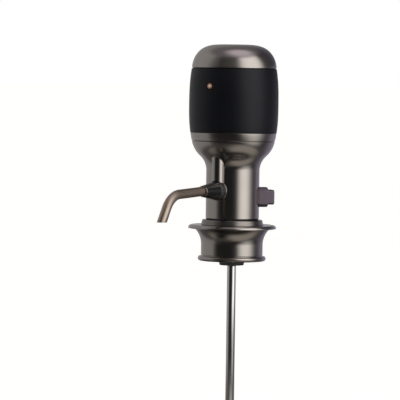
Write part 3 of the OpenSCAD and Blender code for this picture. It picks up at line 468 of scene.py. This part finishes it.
def makeSleeve():
    soft, inner = sleeve["soft"], cover["r"] - sleeve["wall"]
    obj = barrelRing("softSleeve", inner, sleeveLow.z, sleeveHigh.z, soft / 2, soft, sleeve["rows"])
    return dress(obj, "cover", grip, "grip", "grip_sleeve")


sleeveLip = dict(inset=0.56, wide=0.55, high=0.6, sunk=0.15, soft=0.08, sides=180)


def makeSleeveLip():
    # low lip on the sleeve's top, which keeps the gap under the button dark
    outer = barrelAt(sleeveHigh.z) - sleeveLip["inset"]
    inner = outer - sleeveLip["wide"]
    low, high = sleeveHigh.z - sleeveLip["sunk"], sleeveHigh.z + sleeveLip["high"]
    soft = sleeveLip["soft"]
    outline = rounded([(inner, low, 0), (outer, low, 0), (outer, high, soft), (inner, high, soft)])
    return dress(turned("sleeveLip", outline, sleeveLip["sides"]), "cover", grip, "grip")


spring = dict(wire=0.8, turns=4, perTurn=48, sides=12, travel=0.35, sharp=50)


def makeSpring():
    # the button's wire spring, built at rest and riding with the button
    low, high = extent("button_spring")
    wire, steps = spring["wire"] / 2, spring["turns"] * spring["perTurn"]
    meanR, tall = high.x - wire, high.z - low.z - spring["wire"]

    def ring(k, thick):
        a = 2 * math.pi * k / spring["perTurn"]
        z = low.z + wire + tall * k / steps
        made = []
        for b in around(spring["sides"]):
            r = meanR + thick * math.cos(b)
            made.append((r * math.cos(a), r * math.sin(a), z + thick * math.sin(b)))
        return made

    rings = [ring(0, 0), *(ring(k, wire) for k in range(steps + 1)), ring(steps, 0)]
    obj = ringsToObject("pressSpring", rings, closed=False, sharp=spring["sharp"])
    dress(obj, "button", zinc, "motor_steel", "button_spring")
    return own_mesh(obj)


coverRing = dict(inner=26.45, soft=0.5, rows=10)


def makeCoverRing():
    inner, soft, rows = coverRing["inner"], coverRing["soft"], coverRing["rows"]
    obj = barrelRing("coverRing", inner, ringLow.z, ringHigh.z, soft, soft / 2, rows)
    return dress(obj, "cover", gunmetal, "gunmetal", "cover_ring")


lensBezel = dict(gap=0.1, wire=0.2, points=12, sides=48)


def makeLensBezel():
    # thin copper ring round the indicator's lens
    r, face = lens["r"] + lensBezel["gap"], lens["front"] - lens["crown"]
    obj = wireRing("lensBezel", r, face, lensBezel["wire"], lensBezel["points"], lensBezel["sides"],
                   facing(lens["z"]))
    return dress(obj, "cover", copperWire, "copper")


makeDome()
makeSleeve()
makeSleeveLip()
makeSpring()
makeCoverRing()
makeLensBezel()
print("cover and button dressed")


# the neck, with its raised duct and the seats of the spout and the knob

nutLow, nutHigh = extent("spout_nut")
spoutZ = (nutLow.z + nutHigh.z) / 2
neck = dict(r=18.4, wall=2.0, z0=neckLow.z, flareZ=46.2, flareH=24.1, endR=29.04, split=0.42, foot=0.3,
            rim=0.5, hollowRows=36, swellRows=40, step=0.4, fineHalf=22, fineStep=0.5, plainStep=2,
            holeEnd=12.0, past=1.0)
duct = dict(r=4.4, fillet=0.45, apron=1.0, seatR=6.9, seat=17.7, port=4.45)
knob = dict(angle=135, z=28.1, back=17.72, disc=24.4, end=28.7, r=6.95, flat=5.2, halfHeight=5.1,
            corner=1.2, leastCorner=0.3, seat=17.65, seatR=7.25, bushHole=4.05, ribs=44, ribDepth=0.16,
            grooves=3, grooveDepth=0.3, backSoft=0.12, discSoft=0.7, flatSoft=0.3, endSoft=1.1, step=0.05,
            face=0.6, sides=528, discRows=6, gripRows=30, endRows=7, sharp=38)

# the funnel is a hollow arc that runs on into a swelling one
flareTurn = 2 * math.atan((neck["endR"] - neck["r"]) / neck["flareH"])
flareSum = neck["flareH"] / math.sin(flareTurn)
hollowR = flareSum * neck["split"]
swellR = flareSum - hollowR
swellX, swellZ = neck["endR"] - swellR, neck["flareZ"] + neck["flareH"]


def flareRows(inset):
    # up the funnel, a wall's thickness inside its outer face
    turn = math.degrees(flareTurn)
    top = math.degrees(math.asin((swellZ - seamZ) / (swellR - inset)))
    rows = arc(neck["r"] + hollowR, neck["flareZ"], hollowR + inset, 180, 180 - turn, neck["hollowRows"])
    rows += arc(swellX, swellZ, swellR - inset, -turn, -top, neck["swellRows"])[1:]
    return [Vector(p[:2]) for p in rows]


def smoothMax(a, b, k):
    h = min(1, max(0, 0.5 + 0.5 * (a - b) / k))
    return b + (a - b) * h + k * h * (1 - h)


def ductRadius(r, z, angle):
    # the wall's radius with the duct standing on its front; angle is from the front
    side = neck["r"] * math.sin(angle)
    if z < spoutZ or math.cos(angle) < 0 or abs(side) > duct["r"] + duct["apron"]:
        return r
    proud = neck["r"] * math.cos(angle) + math.sqrt(max(duct["r"] ** 2 - side ** 2, 0))
    return smoothMax(r, proud, duct["fillet"])


def neckAngles():
    # close together over the duct, wider apart round the rest
    half, fine, plain = neck["fineHalf"], neck["fineStep"], neck["plainStep"]
    over = [fine * k - half for k in range(round(2 * half / fine))]
    rest = [half + plain * k for k in range(round((360 - 2 * half) / plain))]
    return [math.radians(a) for a in over + rest]


def makeNeck():
    r, wall, z0 = neck["r"], neck["wall"], neck["z0"]
    angles, rows = neckAngles(), flareRows(0)
    # of the foot and the rim, only the fillets are kept
    foot = rounded([(r - wall, z0, 0), (r, z0, neck["foot"]), (r, z0 + 5, 0)])[1:-1]
    rim = rounded([(*rows[-2], 0), (seamR, seamZ, neck["rim"]), (seamR - wall, seamZ, 0)])[1:-1]
    outer = divided(foot + rows[:-1], neck["step"]) + rim
    inner = flareRows(wall)[::-3] + [Vector((r - wall, z0))]
    levels = [(p.y, [ductRadius(p.x, p.y, a) for a in angles]) for p in outer]
    levels += [(p.y, [p.x] * len(angles)) for p in inner]
    rings = []
    for z, radii in levels:
        rings.append([(d * math.sin(a), -d * math.cos(a), z) for d, a in zip(radii, angles)])
    front, side = facing(spoutZ), facing(knob["z"], knob["angle"])
    end, past = neck["holeEnd"], neck["past"]
    obj = carve(ringsToObject("neckShell", rings), [
        rodCutter(duct["seatR"], duct["seat"], r + 2 * duct["r"], front),
        rodCutter(duct["port"], end, r + past, front),
        rodCutter(knob["seatR"], knob["seat"], r + 2 * past, side),
        rodCutter(knob["bushHole"], end, r + past, side),
    ])
    return dress(obj, "head", gunmetal, "gunmetal", "neck_shell")


def gripEdge(c, s, halfX, halfY, corner):
    # distance from the middle to the edge of a rounded rectangle
    c, s = abs(c), abs(s)
    straight = min(halfX / max(c, tiny), halfY / max(s, tiny))
    x, y = halfX - corner, halfY - corner
    if straight * c <= x or straight * s <= y:
        return straight
    along = c * x + s * y
    return along + math.sqrt(max(along ** 2 - x ** 2 - y ** 2 + corner ** 2, 0))


def quarter(size, steps):
    # how far in and how far along, round a quarter of a turn
    for k in range(steps + 1):
        a = math.pi / 2 * k / steps
        yield size * (1 - math.cos(a)), size * math.sin(a)


def makeKnob():
    # a ribbed disc whose two flats run on into a square grip
    turns = around(knob["sides"])

    def discRing(d, inset):
        flat = knob["flat"] - min(inset, knob["flatSoft"])
        ring = []
        for a in turns:
            rib = knob["ribDepth"] * (0.5 - 0.5 * math.cos(knob["ribs"] * a)) ** 2
            r = min(knob["r"] - rib - inset, flat / max(abs(math.cos(a)), tiny))
            ring.append((r * math.cos(a), r * math.sin(a), d))
        return ring

    def gripRing(d, inset, groove=0.0):
        half = knob["halfHeight"] - inset - groove
        corner = max(knob["corner"] - inset / 2, knob["leastCorner"])
        ring = []
        for a in turns:
            c, s = math.cos(a), math.sin(a)
            r = gripEdge(c, s, knob["flat"] - inset, half, corner)
            ring.append((r * c, r * s, d))
        return ring

    back, disc, end = knob["back"], knob["disc"], knob["end"]
    edge, discSoft, soft = knob["backSoft"], knob["discSoft"], knob["endSoft"]
    rows, steps = knob["discRows"], knob["gripRows"]
    rings = [[(0, 0, back)] * len(turns), discRing(back, edge), discRing(back + edge, 0)]
    stretch = disc - discSoft - back - edge
    rings += [discRing(back + edge + stretch * k / rows, 0) for k in range(1, rows)]
    flats = gripRing(disc, 0)  # they stay flat past the disc's soft edge
    for inset, along in quarter(discSoft, rows):
        ring = discRing(disc - discSoft + along, inset)
        further = [math.hypot(*p[:2]) > math.hypot(*q[:2]) for p, q in zip(ring, flats)]
        rings.append([p if out else (*q[:2], p[2]) for p, q, out in zip(ring, flats, further)])
    start = disc + knob["step"]
    length = end - soft - start
    for k in range(steps + 1):
        wave = 0.5 - 0.5 * math.cos(2 * math.pi * knob["grooves"] * k / steps)
        rings.append(gripRing(start + length * k / steps, 0, knob["grooveDepth"] * wave ** 3))
    softRows = list(quarter(soft, knob["endRows"]))[1:]
    rings += [gripRing(end - soft + along, inset) for inset, along in softRows]
    rings += [gripRing(end, soft + knob["face"]), [(0, 0, end)] * len(turns)]
    obj = ringsToObject("airKnob", rings, closed=False, sharp=knob["sharp"])
    obj.data.transform(facing(knob["z"], knob["angle"]))
    return dress(obj, "knob", mauveMetal, "knob_metal", "air_knob")


makeNeck()
makeKnob()
print("neck and knob dressed")


# the spout; pastRim and atBand are the nut's corners there, as (inset, distance, fillet)

nut = dict(start=-nutHigh.y, end=-nutLow.y, r=nutHigh.x, rootSoft=0.3, rim=1.5, band=5.2, tip=3.9,
           tipSoft=0.5, bore=3.25, boreLength=6, portBore=4.45, portCone=1, step=0.5, sides=432,
           pastRim=[(0, 0, 0.35), (0.4, 0.15, 0.1), (0.4, 0.55, 0.1), (0.1, 0.7, 0.15)],
           atBand=[(0.18, -0.3, 0.15), (0.5, 0, 0.1), (0.48, 0.4, 0.15)],
           flutes=36, fluteDepth=0.2, fluteFloor=5, fluteEnds=(0.6, 0.1))


def makeNut():
    start, end, r = nut["start"], nut["end"], nut["r"]
    rim, band = start + nut["rim"], start + nut["band"]
    bore, boreEnd, port = nut["bore"], end - nut["boreLength"], nut["portBore"]
    corners = [(port, start, 0), (r, start, nut["rootSoft"])]
    for level, points in ((rim, nut["pastRim"]), (band, nut["atBand"])):
        corners += [(r - inset, level + along, fillet) for inset, along, fillet in points]
    corners += [(nut["tip"], end, nut["tipSoft"]), (bore, end, 0), (bore, boreEnd, 0),
                (port, boreEnd - nut["portCone"], 0)]
    low, high = rim + nut["fluteEnds"][0], band - nut["fluteEnds"][1]

    def fluted(radius, d, angle):
        if radius < nut["fluteFloor"] or not low < d < high:
            return radius
        return radius - nut["fluteDepth"] * (0.5 + 0.5 * math.cos(nut["flutes"] * angle)) ** 2

    outline = dividedLoop(rounded(corners, steps=4), nut["step"])
    obj = turned("spoutNut", outline, nut["sides"], fluted, facing(spoutZ))
    return dress(obj, "head", nutBlack, "nut_black", "spout_nut")


nutLips = dict(wire=0.17, points=10, sides=120, nutLip=(3.72, nut["end"] - 0.05),
               nutRootLip=(nut["r"] - 0.02, nut["start"] + 0.3))


def makeNutLips():
    # thin bright rings at the nut's mouth and round its root, each at (r, distance)
    for name in ("nutLip", "nutRootLip"):
        r, d = nutLips[name]
        obj = wireRing(name, r, d, nutLips["wire"], nutLips["points"], nutLips["sides"], facing(spoutZ))
        dress(obj, "head", polished, "tube_steel")


ferrule = dict(end=-extent("spout_ferrule")[0].y, root=3.55, tip=3.5, soft=0.15, step=0.4, sides=96)


def makeFerrule():
    start, end, bore = nut["end"], ferrule["end"], nut["bore"]
    corners = [(bore, start, 0), (ferrule["root"], start, 0), (ferrule["tip"], end, ferrule["soft"]),
               (bore, end, 0)]
    outline = dividedLoop(rounded(corners), ferrule["step"])
    obj = turned("spoutFerrule", outline, ferrule["sides"], None, facing(spoutZ))
    return dress(obj, "head", brownMetal, "nut_black", "spout_ferrule")


tubeLow, tubeHigh = extent("spout_tube")
tube = dict(r=tubeHigh.x, wall=0.55, lead=(20.0, 30.0, 38.25), droopAt=39.25, droop=2.6, reach=76.1,
            bendR=18.5, bend=56.5, drop=spoutZ - tubeLow.z, mouth=(2.0, 4.0), lip=0.12, lipAngle=35,
            straightRows=12, bendRows=36, sides=72)


def makeTube():
    # centre line of (distance from the axis, height over the spout's axis), with its heading at each point
    droop, bend, bendR = math.radians(tube["droop"]), math.radians(tube["bend"]), tube["bendR"]
    path = [(Vector((d, 0)), 0.0) for d in tube["lead"]]
    straight = tube["reach"] - tube["droopAt"] - bendR * math.tan(bend / 2)
    knee = Vector((tube["droopAt"], 0))
    along = Vector((math.cos(droop), -math.sin(droop)))
    rows = tube["straightRows"]
    path += [(knee + along * (straight * k / rows), droop) for k in range(1, rows + 1)]
    centre = path[-1][0] + Vector((-math.sin(droop), -math.cos(droop))) * bendR
    for k in range(1, tube["bendRows"] + 1):
        a = droop + bend * k / tube["bendRows"]
        path.append((centre + Vector((math.sin(a), math.cos(a))) * bendR, a))
    heading = droop + bend
    last = path[-1][0]
    down = Vector((math.cos(heading), -math.sin(heading)))
    path += [(last + down * t, heading) for t in tube["mouth"]]

    def ring(point, angle, radius, level=False):
        made = []
        for b in around(tube["sides"]):
            up = radius * math.cos(b)
            d, h = point.x + up * math.sin(angle), point.y + up * math.cos(angle)
            if level:  # slides the point along the last length to the level mouth
                slide = (h + tube["drop"]) / -down.y
                d, h = d + slide * down.x, -tube["drop"]
            made.append((radius * math.sin(b), -d, spoutZ + h))
        return made

    outerR, innerR = tube["r"], tube["r"] - tube["wall"]
    rings = [ring(p, a, outerR) for p, a in path]
    rings += [ring(last, heading, outerR, True), ring(last, heading, innerR, True)]
    rings += [ring(p, a, innerR) for p, a in path[::-1]]
    obj = ringsToObject("spoutTube", rings)
    softenEdges(obj, "lip", tube["lip"], tube["lipAngle"])
    return dress(obj, "head", bronze, "spout_metal", "spout_tube")


makeNut()
makeNutLips()
makeFerrule()
makeTube()
print("spout dressed")


# the base

baseLow, baseHigh = extent("base_collar")
base = dict(bottom=baseLow.z, waist=21.3, skirt=18.6, skirtSoft=0.4, beadR=1.75, beadStep=2.2,
            grooveDepth=0.5, grooveHeight=0.6, grooveSoft=0.12, waistSoft=0.25, flangeR=baseHigh.x,
            flangeTop=baseHigh.z, flangeT=2.7, edgeLow=0.17, flareR=15.0, flareH=10.9, web=(2.5, 5.0),
            webBore=8.0, seat=16.68, beadRows=28, flareRows=40, edgeRows=12, sides=220)


def makeBase():
    b = base
    beadX, beadTop = b["waist"] + b["beadStep"] - b["beadR"], b["bottom"] + 2 * b["beadR"]
    groove, grooveTop = b["waist"] - b["grooveDepth"], beadTop + b["grooveHeight"]
    flareZ = b["flangeTop"] - b["flangeT"] - b["flareH"]
    turn = math.degrees(math.asin(b["flareH"] / b["flareR"]))
    outline = [(b["skirt"], b["bottom"], b["skirtSoft"])]
    outline += arc(beadX, b["bottom"] + b["beadR"], b["beadR"], -90, 90, b["beadRows"])
    outline += [(groove, beadTop, b["grooveSoft"]), (groove, grooveTop, b["grooveSoft"]),
                (b["waist"], grooveTop, b["waistSoft"])]
    outline += arc(b["waist"] + b["flareR"], flareZ, b["flareR"], 180, 180 - turn, b["flareRows"])
    low, high = b["flangeT"] * b["edgeLow"], b["flangeT"] * (1 - b["edgeLow"])
    rows = b["edgeRows"]
    for k in range(-rows, rows + 1):  # the rim swells below its middle
        a = math.pi / 2 / rows * k
        tall = low if k < 0 else high
        outline.append((b["flangeR"] - high * (1 - math.cos(a)),
                        b["flangeTop"] - high + tall * math.sin(a), 0))
    webLow, webHigh = b["web"]
    outline += [(b["seat"], b["flangeTop"], 0), (b["seat"], webHigh, 0), (b["webBore"], webHigh, 0),
                (b["webBore"], webLow, 0), (b["skirt"], webLow, 0)]
    obj = turned("bottleCollar", rounded(outline, steps=4), b["sides"])
    return dress(obj, "base", gunmetal, "gunmetal", "base_collar")


hubLow, hubHigh = extent("hub_ring")
hub = dict(foot=hubHigh.x, top=20.75, z0=hubLow.z, z1=hubHigh.z, footSoft=0.15, soft=0.75, boreSoft=0.2,
           sides=220)


def makeHub():
    seat, z0, z1 = base["seat"], hub["z0"], hub["z1"]
    outline = rounded([(seat, z0, 0), (hub["foot"], z0, hub["footSoft"]), (hub["top"], z1, hub["soft"]),
                       (seat, z1, hub["boreSoft"])], steps=8)
    # painted shade: the hub ring takes the darker copy of the gunmetal
    return dress(turned("hubRing", outline, hub["sides"]), "base", shadedGunmetal, "gunmetal", "hub_ring")


makeBase()
makeHub()
print("base dressed")


# camera, from the photograph's angle

lookFrom = dict(azimuth=33.39, elevation=2.465, roll=0.784, distance=2.187, lens=285.27, sensor=36,
                aside=-0.022394, height=0.025614, clip=(0.1, 200))


def makeCamera():
    a, e, roll = (math.radians(lookFrom[k]) for k in ("azimuth", "elevation", "roll"))
    right = Vector((math.cos(a), math.sin(a), 0))
    back = Vector((math.sin(a) * math.cos(e), -math.cos(a) * math.cos(e), math.sin(e)))
    up = back.cross(right)
    target = right * lookFrom["aside"] + Vector((0, 0, lookFrom["height"]))
    spot = target + back * lookFrom["distance"]
    x = right * math.cos(roll) + up * math.sin(roll)
    y = up * math.cos(roll) - right * math.sin(roll)
    camera = bpy.data.objects.new("camera", bpy.data.cameras.new("camera"))
    camera.data.lens = lookFrom["lens"]
    camera.data.sensor_width = lookFrom["sensor"]
    camera.data.clip_start, camera.data.clip_end = lookFrom["clip"]
    scene.collection.objects.link(camera)
    camera.matrix_world = Matrix((
        (x.x, y.x, back.x, spot.x), (x.y, y.y, back.y, spot.y), (x.z, y.z, back.z, spot.z), (0, 0, 0, 1)))
    scene.camera = camera


# studio: a pale floor under a soft lamp, and a tent of light for the metal to mirror

def whiteForEyes(tree):
    # 1 for what the camera, mirrors and glass see, 0 for plain light
    path = tree.nodes.new("ShaderNodeLightPath")
    seen = path.outputs["Is Camera Ray"]
    for other in ("Is Glossy Ray", "Is Transmission Ray"):
        seen = calculated(tree, "MAXIMUM", seen, path.outputs[other])
    return seen


def parted(tree, vector):
    split = tree.nodes.new("ShaderNodeSeparateXYZ")
    tree.links.new(vector, split.inputs["Vector"])
    return [split.outputs[k] for k in "XYZ"]


def blob(tree, x, y, centre, reach, inner, outer):
    # a soft oval, 1 in the middle and 0 outside
    square = 0
    for place, middle, half in zip((x, y), centre, reach):
        part = calculated(tree, "DIVIDE", calculated(tree, "SUBTRACT", place, middle), half)
        square = calculated(tree, "ADD", square, calculated(tree, "MULTIPLY", part, part))
    return faded(tree, calculated(tree, "SQRT", square), (inner, outer), (1, 0))


def glowing(name):
    material = bpy.data.materials.new(name)
    material.use_nodes = True
    tree = material.node_tree
    tree.nodes.clear()
    emit = tree.nodes.new("ShaderNodeEmission")
    out = tree.nodes.new("ShaderNodeOutputMaterial")
    tree.links.new(emit.outputs["Emission"], out.inputs["Surface"])
    return material, tree, emit


def onlyMirrored(obj, z, material):
    # faces the camera's side at a height, and shows only in reflections
    obj.location.z = z
    obj.rotation_euler.z = math.radians(lookFrom["azimuth"])
    obj.data.materials.append(material)
    obj.visible_camera = obj.visible_diffuse = obj.visible_shadow = obj.visible_transmission = False


# each wall of the tent: degrees to the right of the camera, and how light it is there
lowWall = [(-180, 0.20), (-110, 0.23), (-76, 0.21), (-60, 0.05), (-42, 0.018), (8, 0.013), (20, 0.025),
           (33, 0.12), (48, 0.35), (61, 0.40), (73, 0.27), (86, 0.085), (97, 0.034), (110, 0.08),
           (130, 0.15), (180, 0.20)]
midWall = [(-180, 0.225), (-150, 0.24), (-100, 0.25), (-77, 0.228), (-64, 0.05), (-54, 0.014), (-4, 0.014),
           (9, 0.032), (17, 0.12), (25, 0.46), (35, 0.86), (46, 0.97), (58, 0.94), (70, 0.70), (83, 0.28),
           (95, 0.088), (108, 0.078), (125, 0.19), (150, 0.21), (180, 0.225)]
highWall = [(-180, 0.14), (-150, 0.22), (-113, 0.28), (-81, 0.255), (-58, 0.11), (-40, 0.042),
            (-20, 0.057), (1, 0.077), (9, 0.18), (16, 0.46), (25, 0.85), (40, 1.0), (62, 1.0), (74, 0.74),
            (82, 0.36), (90, 0.087), (104, 0.052), (124, 0.048), (150, 0.075), (180, 0.14)]
wallTint = [(-180, (1.0, 0.98, 1.0)), (-60, (1.0, 0.985, 0.985)), (85, (1.0, 0.985, 0.97)),
            (110, (1.0, 0.92, 1.15)), (150, (0.99, 0.96, 1.22)), (180, (1.0, 0.98, 1.0))]
# the heights, from -1 at the bottom to 1 overhead, between which each part of the tent fades in
fadeIn = dict(low=(-0.62, -0.40), mid=(-0.40, -0.12), high=(0.03, 0.30), aloft=(0.72, 0.88),
              blob=(0.62, 0.78))
overhead = dict(blob=((0.17, -0.17), (0.40, 0.37), 0.40, 1.38), shade=(0.54, 0.495, 0.555),
                aloft=(0.132, 0.122, 0.134), foot=(0.070, 0.066, 0.066))
lightTent = dict(r=0.57, z=0.06, ahead=0.13, footZ=-0.3035, power=2.0, rows=40, sides=96)


def tentGlow():
    material, tree, emit = glowing("tentGlow")
    x, y, z = parted(tree, vectorNode(tree, "NORMALIZE", placeOf(tree)).outputs["Vector"])
    angle = calculated(tree, "ARCTAN2", x, calculated(tree, "MULTIPLY", y, -1))
    turn = mapped(tree, angle, (-math.pi, math.pi), (0, 1))
    fade = {key: faded(tree, z, span) for key, span in fadeIn.items()}
    low, mid, high = (ramp(tree, turn, [(0.5 + a / 360, (level,) * 3) for a, level in wall])
                      for wall in (lowWall, midWall, highWall))
    tone = mixed(tree, fade["low"], overhead["foot"], low)
    tone = mixed(tree, fade["mid"], tone, mid)
    tone = mixed(tree, fade["high"], tone, high)
    tinted = vectorNode(tree, "MULTIPLY", tone)
    tree.links.new(ramp(tree, turn, [(0.5 + a / 360, tint) for a, tint in wallTint]), tinted.inputs[1])
    tone = mixed(tree, fade["aloft"], tinted.outputs["Vector"], overhead["aloft"])
    near = calculated(tree, "MULTIPLY", blob(tree, x, y, *overhead["blob"]), fade["blob"])
    tone = mixed(tree, near, tone, overhead["shade"])
    emit.inputs["Strength"].default_value = lightTent["power"]
    tree.links.new(tone, emit.inputs["Color"])
    return material


def makeTent():
    # a dome of light whose middle is a little ahead of the object, so that its wall reaches lower behind
    r, z, ahead, rows = lightTent["r"], lightTent["z"], lightTent["ahead"] / mm, lightTent["rows"]
    low = math.degrees(math.asin((lightTent["footZ"] - z) / r))
    rings = []
    for k in range(rows + 1):
        e = math.radians(low + (90 - low) * k / rows)
        reach, level = r / mm * math.cos(e), r / mm * math.sin(e)
        turns = around(lightTent["sides"])
        rings.append([(reach * math.cos(a), reach * math.sin(a) - ahead, level) for a in turns])
    tent = ringsToObject("lightTent", rings, closed=False)
    onlyMirrored(tent, z, tentGlow())


# each light or shade on the card: its share, then its oval's centre, reach and soft edge
floorCard = dict(inner=0.006, outer=0.75, z=-0.303, tint=(1.0, 0.94, 0.86), plain=0.10, sides=64,
                 front=(0.42, ((0.199, -0.199), (0.298, 0.332), 0.4, 1.6)),
                 side=(0.22, ((-0.354, -0.033), (0.166, 0.155), 0.2, 1.6)),
                 spot=(0.88, ((-0.182, -0.165), (0.11, 0.11), 0.3, 1.8)),
                 under=(0.92, ((0.0, 0.022), (0.11, 0.11), 1.2, 2.4)))


def cardGlow():
    # the floor's shade as the metal mirrors it: light in front, dark under the object
    material, tree, emit = glowing("floorCardGlow")
    x, y = parted(tree, placeOf(tree))[:2]
    level = floorCard["plain"]
    for key in ("front", "side"):
        share, where = floorCard[key]
        more = calculated(tree, "MULTIPLY", blob(tree, x, y, *where), share)
        level = calculated(tree, "ADD", level, more)
    for key in ("spot", "under"):
        share, where = floorCard[key]
        left = mapped(tree, blob(tree, x, y, *where), (0, 1), (1, 1 - share))
        level = calculated(tree, "MULTIPLY", level, left)
    emit.inputs["Color"].default_value = (*floorCard["tint"], 1)
    tree.links.new(level, emit.inputs["Strength"])
    return material


def makeFloorCard():
    # lies just over the floor
    turns = around(floorCard["sides"])
    rings = [[(r / mm * math.cos(a), r / mm * math.sin(a), 0) for a in turns]
             for r in (floorCard["inner"], floorCard["outer"])]
    obj = ringsToObject("floorCard", rings, closed=False)
    onlyMirrored(obj, floorCard["z"], cardGlow())


paleFloor = dict(z=-0.305, r=60.0, sides=96, white=(0.05, 0.42), whiteSpan=(0.35, 1.4), noise=(6, 3),
                 tones=((0.86, 0.835, 0.800), (0.885, 0.86, 0.825)))


def makeFloor():
    # painted shade: its glow for the camera and mirrors is weaker near the object, so it is darker round
    # the object and grows whiter away from it
    pale, tree, bsdf = newFinish("paleFloor", Roughness=0.85, Specular_IOR_Level=0.2,
                                 Emission_Color=(1, 1, 1, 1))
    paint(tree, bsdf, paleFloor["noise"], *paleFloor["tones"])
    away = vectorNode(tree, "LENGTH", placeOf(tree)).outputs["Value"]
    white = faded(tree, away, paleFloor["whiteSpan"], paleFloor["white"])
    lift = calculated(tree, "MULTIPLY", white, whiteForEyes(tree))
    tree.links.new(lift, bsdf.inputs["Emission Strength"])
    r, sides = paleFloor["r"], paleFloor["sides"]
    mesh = bpy.data.meshes.new("floor")
    mesh.from_pydata([(r * math.cos(a), r * math.sin(a), 0) for a in around(sides)], [], [range(sides)])
    mesh.materials.append(pale)
    floor = bpy.data.objects.new("floor", mesh)
    floor.location.z = paleFloor["z"]
    scene.collection.objects.link(floor)


softLamp = dict(place=(0.75, -0.85, 1.15), size=0.7, watts=9.0)


def makeLamp():
    # lights the floor and the matte pieces and throws the soft shadow; the metal mirrors the tent
    data = bpy.data.lights.new("softLamp", "AREA")
    data.shape = "DISK"
    data.size, data.energy = softLamp["size"], softLamp["watts"]
    lamp = bpy.data.objects.new("softLamp", data)
    lamp.location = softLamp["place"]
    lamp.rotation_euler = lamp.location.to_track_quat("Z", "Y").to_euler()
    lamp.visible_glossy = False
    scene.collection.objects.link(lamp)


skyLight = (0.65, 1.0)  # as plain light, and as the camera and mirrors see it


def makeSky():
    world = bpy.data.worlds.new("studioWorld")
    world.use_nodes = True
    scene.world = world
    tree = world.node_tree
    sky = tree.nodes["Background"]
    sky.inputs["Color"].default_value = (1, 1, 1, 1)
    tree.links.new(mapped(tree, whiteForEyes(tree), (0, 1), skyLight), sky.inputs["Strength"])


makeCamera()
makeSky()
makeTent()
makeFloorCard()
makeLamp()
makeFloor()
scene.view_settings.view_transform = "Standard"
print("camera and studio ready")
